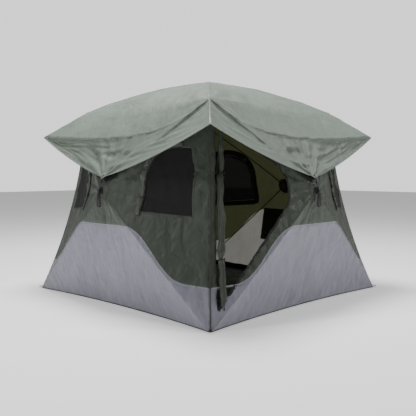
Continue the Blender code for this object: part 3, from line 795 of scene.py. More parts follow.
def stuff(name):
    """One of the tent's materials."""
    if name in CLOTHS:
        color, rough, finish = CLOTHS[name]
        return cloth_material(name, color, rough, **finish)
    return hard_material(name, *HARD_STUFF[name])


def settings():
    return bpy.context.scene.hub_tent


# ---------------------------------------------------------------- ribbons, tubes and repeated rows


def tangents(points, closed=False):
    if closed:
        return normalized(np.roll(points, -1, axis=0) - np.roll(points, 1, axis=0))
    return normalized(np.gradient(points, axis=0))


def frames_along(points, normals, closed=False):
    """Tangents and side ways of a line that lies on a surface."""
    tangent = tangents(np.asarray(points, float), closed)
    return tangent, normalized(np.cross(normals, tangent))


def ribbon(name, points, normals, width, lift, material, closed=False, crown=0.0005, thickness=0.0006):
    """A flat tape laid along a line on the cloth, a little crowned across."""
    _, side = frames_along(points, normals, closed)
    shares = (-0.5, -0.25, 0.0, 0.25, 0.5)
    rows = []
    for share in shares:
        rise = lift + crown * (1 - (2 * share) ** 2)
        rows.append(points + side * (width * share) + normals * rise)
    count = len(points)
    verts = np.stack(rows, axis=1).reshape(-1, 3)
    along = lengths_along(points)
    uv = np.array([(along[i], width * share) for i in range(count) for share in shares])
    faces = grid_faces(count, len(shares), looped=closed)
    item = mesh_piece(name, verts, faces, [material], uv)
    outward = Vector(normals[len(points) // 2])
    if item.data.polygons[len(item.data.polygons) // 2].normal.dot(outward) < 0:
        item.data.flip_normals()
    solid(item, thickness)
    return item


def solid(item, thickness):
    """Gives an open sheet its thickness at once, as part of its mesh."""
    thicken(item, thickness)
    bake(item)


def bake(item):
    """The object's modifiers become its mesh."""
    bpy.context.view_layer.update()
    shape = bpy.data.meshes.new_from_object(item.evaluated_get(bpy.context.evaluated_depsgraph_get()))
    old = item.data
    item.modifiers.clear()
    item.data = shape
    bpy.data.meshes.remove(old)


def tube(name, points, radius, material, sides=8, closed=False):
    """A round tube along a line; radius is one number or one for each point."""
    points = np.asarray(points, float)
    radius = np.broadcast_to(np.asarray(radius, float), len(points))
    up = np.tile(np.array([0.0, 0.0, 1.0]), (len(points), 1))
    tangent, side = frames_along(points, up, closed)
    steep = np.abs(tangent[:, 2]) > 0.98
    if steep.any():
        other = normalized(np.cross(tangent, np.array([0.7, -0.7, 0.0])))
        side = np.where(steep[:, None], other, side)
        for i in range(1, len(side)):
            if side[i] @ side[i - 1] < 0:
                side[i] = -side[i]
    up = normalized(np.cross(tangent, side))
    count = len(points)
    ring = circle(sides)
    verts = [points[i] + radius[i] * (ring @ np.array([side[i], up[i]])) for i in range(count)]
    uv = [(i * 0.004, k * 0.002) for i in range(count) for k in range(sides)]
    faces = grid_faces(count, sides, closed=True, turned=True, looped=closed)
    if not closed:
        faces += end_faces(count, sides)
    item = mesh_piece(name, np.vstack(verts), faces, [material], uv)
    fix_normals(item)
    return item


def fix_normals(item):
    work = bmesh.new()
    work.from_mesh(item.data)
    bmesh.ops.recalc_face_normals(work, faces=work.faces)
    work.to_mesh(item.data)
    work.free()


def row_tree():
    """Small blocks repeated along a line, with their length along it and their top facing out."""
    tree = bpy.data.node_groups.get("row_along_line")
    if tree:
        return tree
    tree = bpy.data.node_groups.new("row_along_line", "GeometryNodeTree")
    face = tree.interface
    face.new_socket(name="Geometry", in_out="INPUT", socket_type="NodeSocketGeometry")
    for label in ("Pitch", "Length", "Width", "Height"):
        face.new_socket(name=label, in_out="INPUT", socket_type="NodeSocketFloat")
    face.new_socket(name="Material", in_out="INPUT", socket_type="NodeSocketMaterial")
    face.new_socket(name="Geometry", in_out="OUTPUT", socket_type="NodeSocketGeometry")
    given = tree.nodes.new("NodeGroupInput").outputs
    line = node(tree, "GeometryNodeMeshToCurve", Mesh=given["Geometry"])
    even = node(tree, "GeometryNodeResampleCurve", mode="LENGTH", Length=given["Pitch"])
    feed(tree, even.inputs["Curve"], line.outputs["Curve"])
    size = node(tree, "ShaderNodeCombineXYZ", X=given["Length"], Y=given["Width"], Z=given["Height"])
    block = node(tree, "GeometryNodeMeshCube", Size=size.outputs[0])
    tangent = node(tree, "GeometryNodeInputTangent")
    out = node(tree, "GeometryNodeInputNamedAttribute", data_type="FLOAT_VECTOR", Name="out")
    turn = node(tree, "FunctionNodeAlignRotationToVector", axis="X", Vector=tangent.outputs[0])
    upright = node(tree, "FunctionNodeAlignRotationToVector", axis="Z", pivot_axis="X")
    feed(tree, upright.inputs["Rotation"], turn.outputs[0])
    feed(tree, upright.inputs["Vector"], out.outputs["Attribute"])
    spread = node(tree, "GeometryNodeInstanceOnPoints", Points=even.outputs["Curve"])
    feed(tree, spread.inputs["Instance"], block.outputs["Mesh"])
    feed(tree, spread.inputs["Rotation"], upright.outputs[0])
    real = node(tree, "GeometryNodeRealizeInstances", Geometry=spread.outputs["Instances"])
    paint = node(tree, "GeometryNodeSetMaterial", Material=given["Material"])
    feed(tree, paint.inputs["Geometry"], real.outputs["Geometry"])
    feed(tree, tree.nodes.new("NodeGroupOutput").inputs["Geometry"], paint.outputs["Geometry"])
    return tree


def laid_row(name, points, normals, lift, material, pitch, size, closed=False):
    """Stitches or teeth along a line on the cloth, as a plain mesh."""
    points = np.asarray(points, float) + normals * lift
    mesh = bpy.data.meshes.new(name)
    count = len(points)
    edges = [(i, (i + 1) % count) for i in range(count if closed else count - 1)]
    mesh.from_pydata([tuple(p) for p in points], edges, [])
    attribute = mesh.attributes.new("out", "FLOAT_VECTOR", "POINT")
    attribute.data.foreach_set("vector", np.asarray(normals, np.float32).ravel())
    item = link(name, mesh, [])
    change = item.modifiers.new("row", "NODES")
    change.node_group = row_tree()
    names = {socket.name: socket.identifier for socket in change.node_group.interface.items_tree}
    given = dict(zip(("Length", "Width", "Height"), size))
    for label, value in {**given, "Pitch": pitch, "Material": material}.items():
        change[names[label]] = value
    bake(item)
    if not item.data.materials:
        item.data.materials.append(material)
    return item


def stitch_rows(points, normals, offsets, thread="sewing_thread", closed=False):
    """Rows of stitches, each moved sideways from the line by its offset."""
    trim = settings().trim
    points = np.asarray(points, float)
    _, side = frames_along(points, normals, closed)
    size = (trim.stitch, 0.0009, 0.0007)
    return [
        laid_row("row", points + side * offset, normals, 0.0011, stuff(thread), trim.stitch_gap, size, closed)
        for offset in offsets
    ]


# ---------------------------------------------------------------- walls


def wall_line(xy, side, step=0.012, closed=False):
    """A line on a wall's cloth: world points and outward ways."""
    xy = spaced(xy, step, closed)
    crease = settings().cloth.crease
    return WALL.place(xy, side, crease), WALL.outward(xy, side, crease)


def wall_panels(side):
    """The wall's area cut into its panels, as {panel: (points, triangles)} in the wall's plane."""
    step = settings().cloth.grain * 1.0
    edge = WALL.edge[:, :2]
    lines = [(with_corners(edge, step), True)]
    hole = np.array(WALL_HUB)[:2] + HUB_HOLE_R * circle(28)
    lines.append((hole, True))
    splash = splash_line()
    lines.append((spaced(splash, step), False))
    windows = [window_outline(side, hand) for hand in WINDOW_HANDS[side]]
    door = door_outline() if side in DOOR_WALLS else None
    lines += [(with_corners(outline, step), True) for outline in windows]
    if door is not None:
        lines.append((with_corners(door, step), True))
    fixed, edges = [], []
    for points, closed in lines:
        start = sum(len(row) for row in fixed)
        count = len(points)
        edges += [(start + i, start + (i + 1) % count) for i in range(count if closed else count - 1)]
        fixed.append(points)
    fixed = np.vstack(fixed)
    low, high = edge.min(0), edge.max(0)
    grid = []
    for k, y in enumerate(np.arange(low[1], high[1], step * ROW_PITCH)):
        x = np.arange(low[0] + step / 2 * (k % 2), high[0], step)
        grid.append(np.column_stack([x, np.full_like(x, y)]))
    grid = np.vstack(grid)
    grid = grid[inside(grid, edge)]
    tree = near_tree(np.column_stack([fixed, np.zeros(len(fixed))]))
    clear = np.array([tree.find((*point, 0))[2] > step * 0.55 for point in grid])
    grid = grid[clear]
    points = np.vstack([fixed, grid])
    found = delaunay_2d_cdt([Vector(p) for p in points], edges, [], 0, 1e-6)
    verts = np.array([tuple(p) for p in found[0]])
    triangles = np.array([tuple(f) for f in found[2]])
    middle = verts[triangles].mean(1)
    splash_area = np.vstack([splash, [(BASE_HALF * 1.2, -1), (-BASE_HALF * 1.2, -1)]])
    keep = inside(middle, edge) & ~inside(middle, hole)
    label = np.where(inside(middle, splash_area), "splash_panel", "wall").astype(object)
    for hand, outline in zip(WINDOW_HANDS[side], windows):
        label[inside(middle, outline)] = f"{'right' if hand > 0 else 'left'}_window_screen"
    if door is not None:
        label[inside(middle, door)] = "door_panel"
    panels = {}
    for name in sorted(set(label[keep])):
        chosen = triangles[keep & (label == name)]
        used, index = np.unique(chosen, return_inverse=True)
        panels[name] = (verts[used], index.reshape(chosen.shape))
    return panels


PANEL_FINISH = {
    "wall": ("woven_wall", "wall_inside", "wall_cloth"),
    "door_panel": ("woven_wall", "wall_inside", "wall_cloth"),
    "splash_panel": ("woven_splash", "splash_inside", "splash_cloth"),
    "right_window_screen": ("net_cloth", "net_cloth", "mesh_net"),
    "left_window_screen": ("net_cloth", "net_cloth", "mesh_net"),
}


def make_wall(side):
    cloth = settings().cloth
    for name, (xy, triangles) in wall_panels(side).items():
        if side == "front" and name == "door_panel":
            continue
        outer, inner, slot = PANEL_FINISH[name]
        crease = cloth.crease * (0.5 if "screen" in name else 1.0)
        points = WALL.place(xy, side, crease, -0.002 if "screen" in name else 0.0)
        item = mesh_piece(f"{side}_{name}_cloth", points, triangles, [stuff(outer), stuff(inner)], xy)
        thicken(item, cloth.thickness, 1)
        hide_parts(f"{side}_{name}")
        follow_wall(item, side)


def finish_on_body(name, items, body):
    piece = join(name, items)
    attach(piece, body)


def finish_on_wall(name, items, side):
    piece = join(name, items)
    follow_wall(piece, side)
    return piece


def inner_border(outline, side):
    """The dark border sewn inside the wall round a window."""
    path = spaced(with_corners(outline, 0.02), 0.012, closed=True)
    way = normalized(np.roll(path, -1, axis=0) - np.roll(path, 1, axis=0))[:, ::-1] * (1, -1)
    if np.sum(way * (path - path.mean(axis=0))) < 0:
        way = -way
    rows = [path + way * out for out in np.linspace(BORDER_NEAR, BORDER_FAR, 6)]
    rows = [np.clip(row, (-BASE_HALF, 0.0), (BASE_HALF, WALL_SLANT - 0.02)) for row in rows]
    points, faces = ring_mesh([WALL.place(row, side, settings().cloth.crease, -0.0046) for row in rows])
    item = mesh_piece("border", points, faces, [stuff("black_tape")], np.vstack(rows))
    solid(item, 0.0007)
    return item


def window_trim(side, hand):
    """A window's bound edge with its stitches, and its cover drawn up along the curved side."""
    trim = settings().trim
    outline = window_outline(side, hand)
    label = "right" if hand > 0 else "left"
    points, ways = wall_line(with_corners(outline, 0.02), side, closed=True)
    items = [ribbon("edge", points, ways, trim.binding * 1.3, 0.0008, stuff("binding_tape"), closed=True)]
    items += stitch_rows(points, ways, (-0.0065, 0.0065), closed=True)
    items.append(inner_border(outline, side))
    finish_on_wall(f"{side}_{label}_window_binding", items, side)
    curved = outline[3:] if hand > 0 else outline[:-3]
    inner = outline[0] if hand > 0 else outline[-1]
    path = np.vstack([curved, [inner]]) if hand > 0 else np.vstack([[inner], curved])
    path = spaced(path, 0.012)
    share = np.linspace(0, 1, len(path))
    middle = np.array([abs(outline[:, 0]).mean() * hand, outline[:, 1].mean()])
    path = path + normalized(path - middle) * 0.024
    world = WALL.place(path, side, settings().cloth.crease, 0.009)
    ways = WALL.outward(path, side, settings().cloth.crease)
    width = 0.022 * (0.62 + 0.38 * np.sin(math.pi * share) ** 0.7) * (1 + 0.10 * np.sin(share * 47))
    roll = gathered(f"{side}_{label}_window_cover", world, ways, width, stuff("cover_cloth"), 11, 0.55)
    follow_wall(roll, side)
    ties = []
    for mark in (0.2, 0.5, 0.8):
        spot = int(mark * (len(world) - 1))
        ties.append(loop_tie(world, ways, spot, width[spot] * 1.06, 0.62))
    finish_on_wall(f"{side}_{label}_window_cover_ties", ties, side)


def gathered(name, path, ways, radius, material, seed, flat=1.0):
    """Cloth gathered along a line: folds that run along it, twist slowly and pinch where it's tied."""
    count, sides = len(path), 48
    _, side = frames_along(path, ways)
    up = ways * flat
    turn = turns(sides)
    draw = np.random.default_rng(seed)
    lobes = [(k, draw.uniform(0, 2 * math.pi), draw.uniform(-1.6, 1.6)) for k in (3, 5, 7, 11, 16)]
    along = np.linspace(0, 1, count)
    verts, uv = [], []
    for i, point in enumerate(path):
        fold = 0
        for k, phase, twist in lobes:
            fold = fold + (0.34 / math.sqrt(k)) * np.sin(k * turn + phase + twist * 6 * along[i])
        uneven = 0.12 * math.sin(along[i] * 31 + seed) + 0.07 * math.sin(along[i] * 73 + 2 * seed)
        size = radius[i] * (1 + 0.42 * fold + uneven)
        verts.append(point + size[:, None] * (circle(sides) @ np.array([side[i], up[i]])))
        uv += [(k * radius[i] * 0.16, along[i]) for k in range(sides)]
    faces = grid_faces(count, sides, closed=True, turned=True)
    faces += end_faces(count, sides)
    item = mesh_piece(name, np.vstack(verts), faces, [material], uv)
    fix_normals(item)
    return item


def loop_tie(path, ways, spot, radius, flat=1.0):
    """A tape round gathered cloth."""
    _, side = frames_along(path, ways)
    points = path[spot] + radius * (circle(24) @ np.array([side[spot], ways[spot] * flat]))
    return tube("tie", points, 0.0030, stuff("black_tape"), 8, closed=True)


def splash_trim(side):
    trim = settings().trim
    line = splash_line()
    line = line[np.abs(line[:, 0]) < seam_x(line[:, 1]) - 0.001]
    outline = door_outline() if side in DOOR_WALLS else None
    if outline is not None:
        line = line[~inside(line, outline)]
    points, ways = wall_line(line, side)
    items = [ribbon("edge", points, ways, trim.binding * 0.75, 0.0007, stuff("light_binding"))]
    items += stitch_rows(points, ways, (-0.008, -0.0115), "light_thread")
    finish_on_wall(f"{side}_splash_seam", items, side)


def hub_patch(side):
    """The reinforced cloth round a hub, outside and inside, with two rows of stitches."""
    crease = settings().cloth.crease
    rings = np.linspace(HUB_HOLE_R + 0.001, 0.085, 6)
    ring = circle(48)
    middle = np.array(WALL_HUB)[:2]
    xy = np.vstack([middle + r * ring for r in rings])
    faces = grid_faces(len(rings), len(ring), closed=True)
    outer = mesh_piece("outer", WALL.place(xy, side, crease, 0.0008), faces, [stuff("woven_wall")], xy)
    solid(outer, 0.0007)
    inner = mesh_piece("inner", WALL.place(xy, side, crease, -0.0030), faces, [stuff("black_tape")], xy)
    solid(inner, 0.0007)
    items = [outer, inner]
    for r in (0.080, 0.074):
        points, ways = wall_line(middle + r * ring, side, 0.006, closed=True)
        items += stitch_rows(points + ways * 0.0008, ways, (0.0,), closed=True)
    finish_on_wall(f"{side}_hub_patch", items, side)


def gear_pocket(side):
    """The black net pocket inside a window wall, under its hub."""
    crease = settings().cloth.crease
    across = np.linspace(-POCKET_HALF, POCKET_HALF, 31)
    top = POCKET_LOW + POCKET_RISE
    up = np.linspace(POCKET_LOW, top, 19)
    x, u = np.meshgrid(across, up)
    xy = np.column_stack([x.ravel(), u.ravel()])
    belly = 0.020 * np.cos(xy[:, 0] / POCKET_HALF * math.pi / 2) * smoothstep(top - xy[:, 1], -0.02, 0.2)
    points = WALL.place(xy, side, crease, 0.0) - WALL.outward(xy, side, crease) * (0.006 + belly[:, None])
    faces = grid_faces(len(up), len(across), turned=True)
    item = mesh_piece(f"{side}_wall_pocket", points, faces, [stuff("woven_floor")], xy)
    thicken(item, 0.0008, 0)
    follow_wall(item, side)
    rim = WALL.place(np.column_stack([across, np.full_like(across, top)]), side, crease, -0.0075)
    edge = tube("rim", rim, 0.0042, stuff("black_tape"), 8)
    finish_on_wall(f"{side}_wall_pocket_rim", [edge], side)


def pole_seams(side):
    """The seam from the hub to each corner, where the wall's four panels meet over their poles."""
    middle = np.array(WALL_HUB)[:2]
    items = []
    window_areas = [window_outline(side, hand) for hand in WINDOW_HANDS[side]]
    if side in DOOR_WALLS:
        window_areas.append(door_outline())
    for corner in WALL.corners:
        far = middle + (corner - middle) * 0.985
        near = middle + normalized((corner - middle)[None])[0] * 0.085
        line = spaced(np.array([near, far]), 0.012)
        clear = np.ones(len(line), bool)
        for area in window_areas:
            clear &= ~inside(line, area)
        runs = np.split(np.arange(len(line)), np.flatnonzero(np.diff(clear.astype(int))) + 1)
        for run in runs:
            if not clear[run[0]] or len(run) < 8:
                continue
            points, ways = wall_line(line[run], side)
            items += stitch_rows(points, ways, (0.003, -0.003))
    if items:
        finish_on_wall(f"{side}_panel_stitching", items, side)


# ---------------------------------------------------------------- doors


def zip_along(line, side, closed=False, lift=0.0008):
    """Zip tape with its teeth and stitches along a line on a wall."""
    trim = settings().trim
    points, ways = wall_line(line, side, 0.010, closed)
    tape = ribbon("tape", points, ways, trim.zip_width, lift, stuff("black_tape"), closed, crown=0.0006)
    size = (0.0022, 0.0062, 0.0022)
    teeth = laid_row("teeth", points, ways, lift + 0.0022, stuff("moulded_nylon"), trim.tooth_pitch, size, closed)
    items = [tape, teeth]
    reach = trim.zip_width * 0.38
    return items + stitch_rows(points + ways * lift, ways, (-reach, reach), closed=closed)


ROLL_TIES = (0.26, 0.76)  # where the rolled door is tied, as shares of its height


def open_door():
    """The open front door: its bound edge with half a zip, and the door gathered beside the corner."""
    outline = door_outline()
    sill, head, _ = door_corners()
    free = outline[:DOOR_FREE_POINTS]
    trim = settings().trim
    points, ways = wall_line(free, "front", 0.010)
    _, across = frames_along(points, ways)
    out = -across if np.dot(across[len(points) // 2], (1, 0, 0)) < 0 else across
    edge = points + out * 0.011
    items = [ribbon("tape", edge, ways, 0.022, 0.0008, stuff("black_tape"))]
    points = points + out * 0.001
    size = (0.0022, 0.0045, 0.0022)
    items.append(laid_row("teeth", points, ways, 0.0022, stuff("moulded_nylon"), trim.tooth_pitch, size))
    items += stitch_rows(edge + ways * 0.0008, ways, (0.0075, -0.0060))
    finish_on_wall("front_door_zip", items, "front")

    low, high = sill[1] + 0.020, head[1] - 0.060
    up = np.linspace(low, high, 150)
    share = np.linspace(0, 1, len(up))
    width = 0.027 * (0.60 + 0.40 * np.sin(math.pi * np.clip(share * 1.02, 0, 1)) ** 0.6)
    width = width * (1.10 - 0.22 * share)
    pinch = 1 - sum(0.40 * np.exp(-(((share - tied) / 0.02) ** 2)) for tied in ROLL_TIES)
    x = DOOR_EDGE + 0.036 - seam_x(up)
    x = x + 0.004 * np.sin(share * 17) + 0.003 * np.sin(share * 41)
    line = np.column_stack([x, up])
    path = WALL.place(line, "front", 0.0, 0.006)
    ways = WALL.outward(line, "front", 0.0)
    roll = gathered("front_door_roll_cloth", path, ways, width * pinch, stuff("woven_wall"), 5)
    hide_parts("front_door_roll")
    follow_wall(roll, "front")
    ties = []
    for mark in ROLL_TIES:
        spot = int(mark * (len(path) - 1))
        ties.append(loop_tie(path, ways, spot, width[spot] * 0.76))
        start = path[spot] + np.array([0.020, -0.014, 0.0])
        hang = start + np.outer(np.linspace(0, 1, 8), (0.004, -0.003, -0.060))
        ties.append(tube("tail", hang, 0.0022, stuff("black_tape"), 6))
        toggle = np.outer((-0.013, -0.011, 0.0, 0.011, 0.013), (0.5, 0.1, 0.85)) + start + (0.0, -0.003, 0.0)
        radius = (0.0028, 0.0045, 0.0052, 0.0045, 0.0028)
        ties.append(tube("toggle", toggle, radius, stuff("moulded_nylon"), 12))
    finish_on_wall("front_door_ties", ties, "front")


def closed_door():
    """The back door's zip, run closed along its free sides, with its slider at the foot."""
    outline = door_outline()
    free = outline[:DOOR_FREE_POINTS]
    items = zip_along(free, "back")
    finish_on_wall("back_door_zip", items, "back")
    points, ways = wall_line(spaced(free, 0.01)[4:12], "back", 0.01)
    way = normalized((points[3] - points[0])[None])[0]
    side = np.cross(ways[0], way)
    spot = points[1] + ways[1] * 0.0075
    body = slider_shape("back_door_slider", spot, way, side, ways[1])
    finish_on_wall("back_door_slider", body, "back")


def slider_shape(name, spot, way, side, out):
    """A zip slider: a waisted body with a bridge."""
    turn = Matrix((Vector(way), Vector(side), Vector(out))).transposed().to_4x4()
    place = Matrix.Translation(Vector(spot)) @ turn
    work = bmesh.new()
    outline = [(-0.012, 0.0042), (-0.004, 0.0062), (0.006, 0.0068), (0.013, 0.0050)]
    rings = []
    for x, half in outline:
        section = ((-half, -0.004), (half, -0.004), (half, 0.003), (-half, 0.003))
        rings.append([work.verts.new((x, y, z)) for y, z in section])
    for first, second in zip(rings, rings[1:]):
        for k in range(4):
            m = (k + 1) % 4
            work.faces.new((first[k], second[k], second[m], first[m]))
    work.faces.new(rings[0])
    work.faces.new(rings[-1][::-1])
    bmesh.ops.recalc_face_normals(work, faces=work.faces)
    bmesh.ops.bevel(work, geom=work.edges[:], offset=0.0014, segments=2, affect="EDGES", profile=0.6)
    mesh = bpy.data.meshes.new(name)
    work.to_mesh(mesh)
    work.free()
    mesh.transform(place)
    body = link(name, mesh, [stuff("enamelled_zinc")])
    bridge = ((-0.008, 0.003), (-0.006, 0.0062), (0.0, 0.0074), (0.006, 0.0062), (0.008, 0.003))
    world = np.array([place @ Vector((x, 0, z)) for x, z in bridge])
    return [body, tube("bridge", world, 0.0015, stuff("enamelled_zinc"), 8)]


def front_slider():
    """The pull on the front door's slider: a cord with a moulded end."""
    finish_cad(lambda name: name == "front_door_zip_slider", stuff("enamelled_zinc"))
    low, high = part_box("front_door_zip_slider")
    top = (low + high) / 2 + OUT * 0.006
    drop = np.array([0.0, -0.002, -1.0])
    pull = np.array([tuple(top + OUT * 0.002)]) + np.outer(np.linspace(0, 0.034, 7), drop)
    pull[:, 1] -= 0.003 * np.sin(np.linspace(0, 1.4, 7))
    cord = tube("cord", pull, 0.0016, stuff("braided_cord"), 8)
    end = pull[-1] + np.outer(np.linspace(-0.001, 0.026, 6), drop)
    grip = tube("grip", end, (0.0020, 0.0040, 0.0046, 0.0048, 0.0044, 0.0026), stuff("moulded_nylon"), 12)
    finish_on_body("front_door_slider_pull", [cord, grip], "zip_slider")


# ---------------------------------------------------------------- seams between walls, floor and ceiling


def body_edges():
    """The piping of the four corner seams and of the roof's edge, and the hem along the floor."""
    items = []
    for side in SIDES:
        height = np.linspace(0.004, 0.996, 90)
        half = corner_half(height)
        line = np.column_stack([half, -half, TOP_Z * height + HEM_LIFT])
        items.append(tube("corner", spin(line, side), 0.0042, stuff("binding_tape"), 8))
        across = np.linspace(-0.997, 0.997, 90)
        for name, half, hollow, z, radius, tape in (
            ("top", TOP_HALF, TOP_HOLLOW, TOP_Z + 0.001, 0.0038, "binding_tape"),
            ("hem", BASE_HALF, BASE_HOLLOW, 0.0052, 0.0040, "black_tape"),
        ):
            line = np.column_stack([across * half, -half + hollow * arch(across), np.full(90, z)])
            items.append(tube(name, spin(line, side), radius, stuff(tape), 8))
    finish_on_body("body_piping", items, "root")


def corner_webbing():
    """Stake loops of webbing at the four lower corners."""
    out = normalized(np.array([[-1.0, -1.0, 0.0]]))[0]
    across = np.array([0.7071, -0.7071, 0.0])
    share = np.linspace(0, 1, 25)
    line = np.array([-BASE_HALF, -BASE_HALF, 0.006]) + np.outer(0.034 * np.sin(math.pi * share) - 0.004, out)
    line[:, 2] += 0.004 + 0.016 * share
    items = []
    for side in SIDES:
        loop = strap("loop", spin(line, side), spin([across], side)[0], 0.020, 0.0014, stuff("black_tape"))
        items.append(loop)
    finish_on_body("stake_loops", items, "root")


def strap(name, line, across, width, thickness, material, closed=False):
    """Flat webbing that follows a line, with its width along a fixed way and bound edges."""
    line = np.asarray(line, float)
    across = np.asarray(across, float)
    out = normalized(np.cross(tangents(line, closed), across))
    section = [(-0.5, -0.3), (-0.46, -0.5), (-0.2, -0.46), (0.2, -0.46), (0.46, -0.5), (0.5, -0.3)]
    section += [(-x, -y) for x, y in section]
    verts, uv = [], []
    along = lengths_along(line)
    for i, point in enumerate(line):
        for x, y in section:
            verts.append(point + across * (x * width) + out[i] * (y * thickness))
            uv.append((x * width, along[i]))
    count, ring = len(line), len(section)
    faces = grid_faces(count, ring, closed=True, looped=closed)
    if not closed:
        faces += [face[::-1] for face in end_faces(count, ring)]
    item = mesh_piece(name, verts, faces, [material], uv)
    fix_normals(item)
    return item


def make_floor():
    """The floor: one groundsheet whose rim is turned up inside the walls."""
    step = 0.035 * 1.0
    count = int(2 * BASE_HALF / step)
    share = np.linspace(-1, 1, count)
    ring = np.sign(share) * np.abs(share) ** 0.92
    u, v = np.meshgrid(ring, ring)
    grid = np.column_stack([u.ravel(), v.ravel()])
    half = BASE_HALF - 0.006
    reach = half - BASE_HOLLOW * arch(grid[:, ::-1])
    flat = np.column_stack([grid[:, 0] * reach[:, 0], grid[:, 1] * reach[:, 1]])
    edge = np.max(np.abs(grid), axis=1)
    lie = 0.0018 + 0.0022 * (1 + ripple(flat, 0.34, 4)) * smoothstep(1 - edge, 0, 0.12)
    points = np.column_stack([flat, lie])
    rows = [points]
    faces = grid_faces(count, count, turned=True)
    order = np.arange(count * count).reshape(count, count)
    rim = [*order[0, :-1], *order[:-1, -1], *order[-1, :0:-1], *order[:0:-1, 0]]
    base = flat[rim]
    inward = base * (1 - 0.026 / np.linalg.norm(base, axis=1, keepdims=True) * np.sqrt(2))
    total = count * count
    last = rim
    for level, part in ((0.020, 0.33), (0.040, 0.67), (0.058, 1.0)):
        wave = 0.002 * np.sin(np.arange(len(rim)) * 0.9 + 9 * level)
        rows.append(np.column_stack([base + (inward - base) * part, level + wave * part]))
        here = list(range(total, total + len(rim)))
        for i in range(len(rim)):
            j = (i + 1) % len(rim)
            faces.append((last[i], last[j], here[j], here[i]))
        total += len(rim)
        last = here
    points = np.vstack(rows)
    item = mesh_piece("floor_groundsheet", points, faces, [stuff("woven_floor")], points[:, :2])
    thicken(item, 0.001, 0, 1.0)
    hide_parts("floor")
    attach(item, "root")
    line = rows[-1]
    band = tube("floor_rim_binding", line + (0, 0, 0.001), 0.0030, stuff("black_tape"), 8, closed=True)
    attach(band, "root")


def ceiling_height(xy):
    """The ceiling over the square of the top corners: straight lines from its hub, bowed upwards."""
    turn = np.arctan2(xy[:, 1], xy[:, 0])
    distance = np.linalg.norm(xy, axis=1)
    across = 2 * np.arange(160) / 160 - 1
    one = np.column_stack([across * TOP_HALF, -TOP_HALF + TOP_HOLLOW * arch(across)])
    quarter = np.array([[0.0, 1.0], [-1.0, 0.0]])
    edge = np.vstack([one @ np.linalg.matrix_power(quarter, k) for k in range(4)])
    heading = np.arctan2(edge[:, 1], edge[:, 0])
    order = np.argsort(heading)
    far = np.interp(turn, heading[order], np.linalg.norm(edge, axis=1)[order], period=2 * math.pi)
    reach = np.clip((distance - HUB_HOLE_R) / (far - HUB_HOLE_R), 0, 1)
    middle = np.sin(math.pi * np.mod(turn + math.pi / 4, math.pi / 2) / (math.pi / 2))
    bow = 4 * reach * (1 - reach) * (ROOF_BOW - ROOF_SLACK * middle)
    return CEILING_HUB_Z + (TOP_Z - CEILING_HUB_Z) * reach + bow, reach, far


def make_ceiling():
    """The ceiling under the rainfly."""
    rings = 26
    probe = circle(144)
    _, _, far = ceiling_height(probe)
    run = (far - 0.003 - HUB_HOLE_R)[:, None]
    xy = np.vstack([probe * (HUB_HOLE_R + run * part) for part in np.linspace(0, 1, rings)])
    rise, reach, _ = ceiling_height(xy)
    rise = rise + 0.003 * ripple(xy, 0.22, 5) * smoothstep(1 - reach, 0, 0.1) * smoothstep(reach, 0, 0.1)
    points = np.column_stack([xy, rise])
    faces = grid_faces(rings, len(probe), closed=True)
    item = mesh_piece("roof_panel_cloth", points, faces, [stuff("woven_wall"), stuff("wall_inside")], xy)
    thicken(item, settings().cloth.thickness, 1)
    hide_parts("roof_panel")
    bend(item)


# ---------------------------------------------------------------- rainfly


def fly_edge_height(a):
    return TOP_Z + KINK_RISE - FLY_MID_DROP * arch(a)


def fly_profile(a):
    """The seam's and the hem's points of a front side, for places from the kink, -1, to the tip, 1."""
    t = (a + 1) / 2
    out = TOP_HALF + (FLY_TIP_HALF - TOP_HALF) * (1 - (1 - t) ** 2.2)
    high = TOP_Z + KINK_RISE
    drop = high + (FLY_TIP_Z - high) * t - FLY_SEAM_SAG * np.sin(math.pi * t**0.75)
    seam = np.column_stack([a * out, -out, drop])
    far = np.abs(a)
    low = FLY_LOW_OUT + (FLY_TIP_HALF - FLY_LOW_OUT) * far
    z = FLY_LOW_Z + (FLY_TIP_Z - FLY_LOW_Z) * far - FLY_HEM_SAG * 4 * far * (1 - far)
    hem = np.column_stack([a * FLY_TIP_HALF, -low, z])
    return seam, hem


def clear_of_wall(rows, side):
    """Fly points of a side, moved out to lie clear of the wall under them."""
    cloth = settings().cloth
    local = rows @ TO_WALL[:3, :3].T + TO_WALL[:3, 3]
    xy = local[:, :2]
    over = (np.abs(xy[:, 0]) < seam_x(xy[:, 1]) + 0.02) & (xy[:, 1] > 0) & (xy[:, 1] < WALL_SLANT + 0.01)
    least = WALL.height(xy, cloth.crease, 3 + SIDES[side] // 90) + FLY_CLEARANCE
    local[:, 2] = np.where(over, np.maximum(local[:, 2], least), local[:, 2])
    return local @ FROM_WALL[:3, :3].T + FROM_WALL[:3, 3]


def fly_lines(side, count):
    """Points along one side of the fly, left to right from outside: (a, seam, hem)."""
    a = np.linspace(-1, 1, count)
    if KINK_HAND[side] < 0:
        return a, *fly_profile(a)
    seam, hem = fly_profile(a[::-1])
    return a, seam * (-1, 1, 1), hem * (-1, 1, 1)


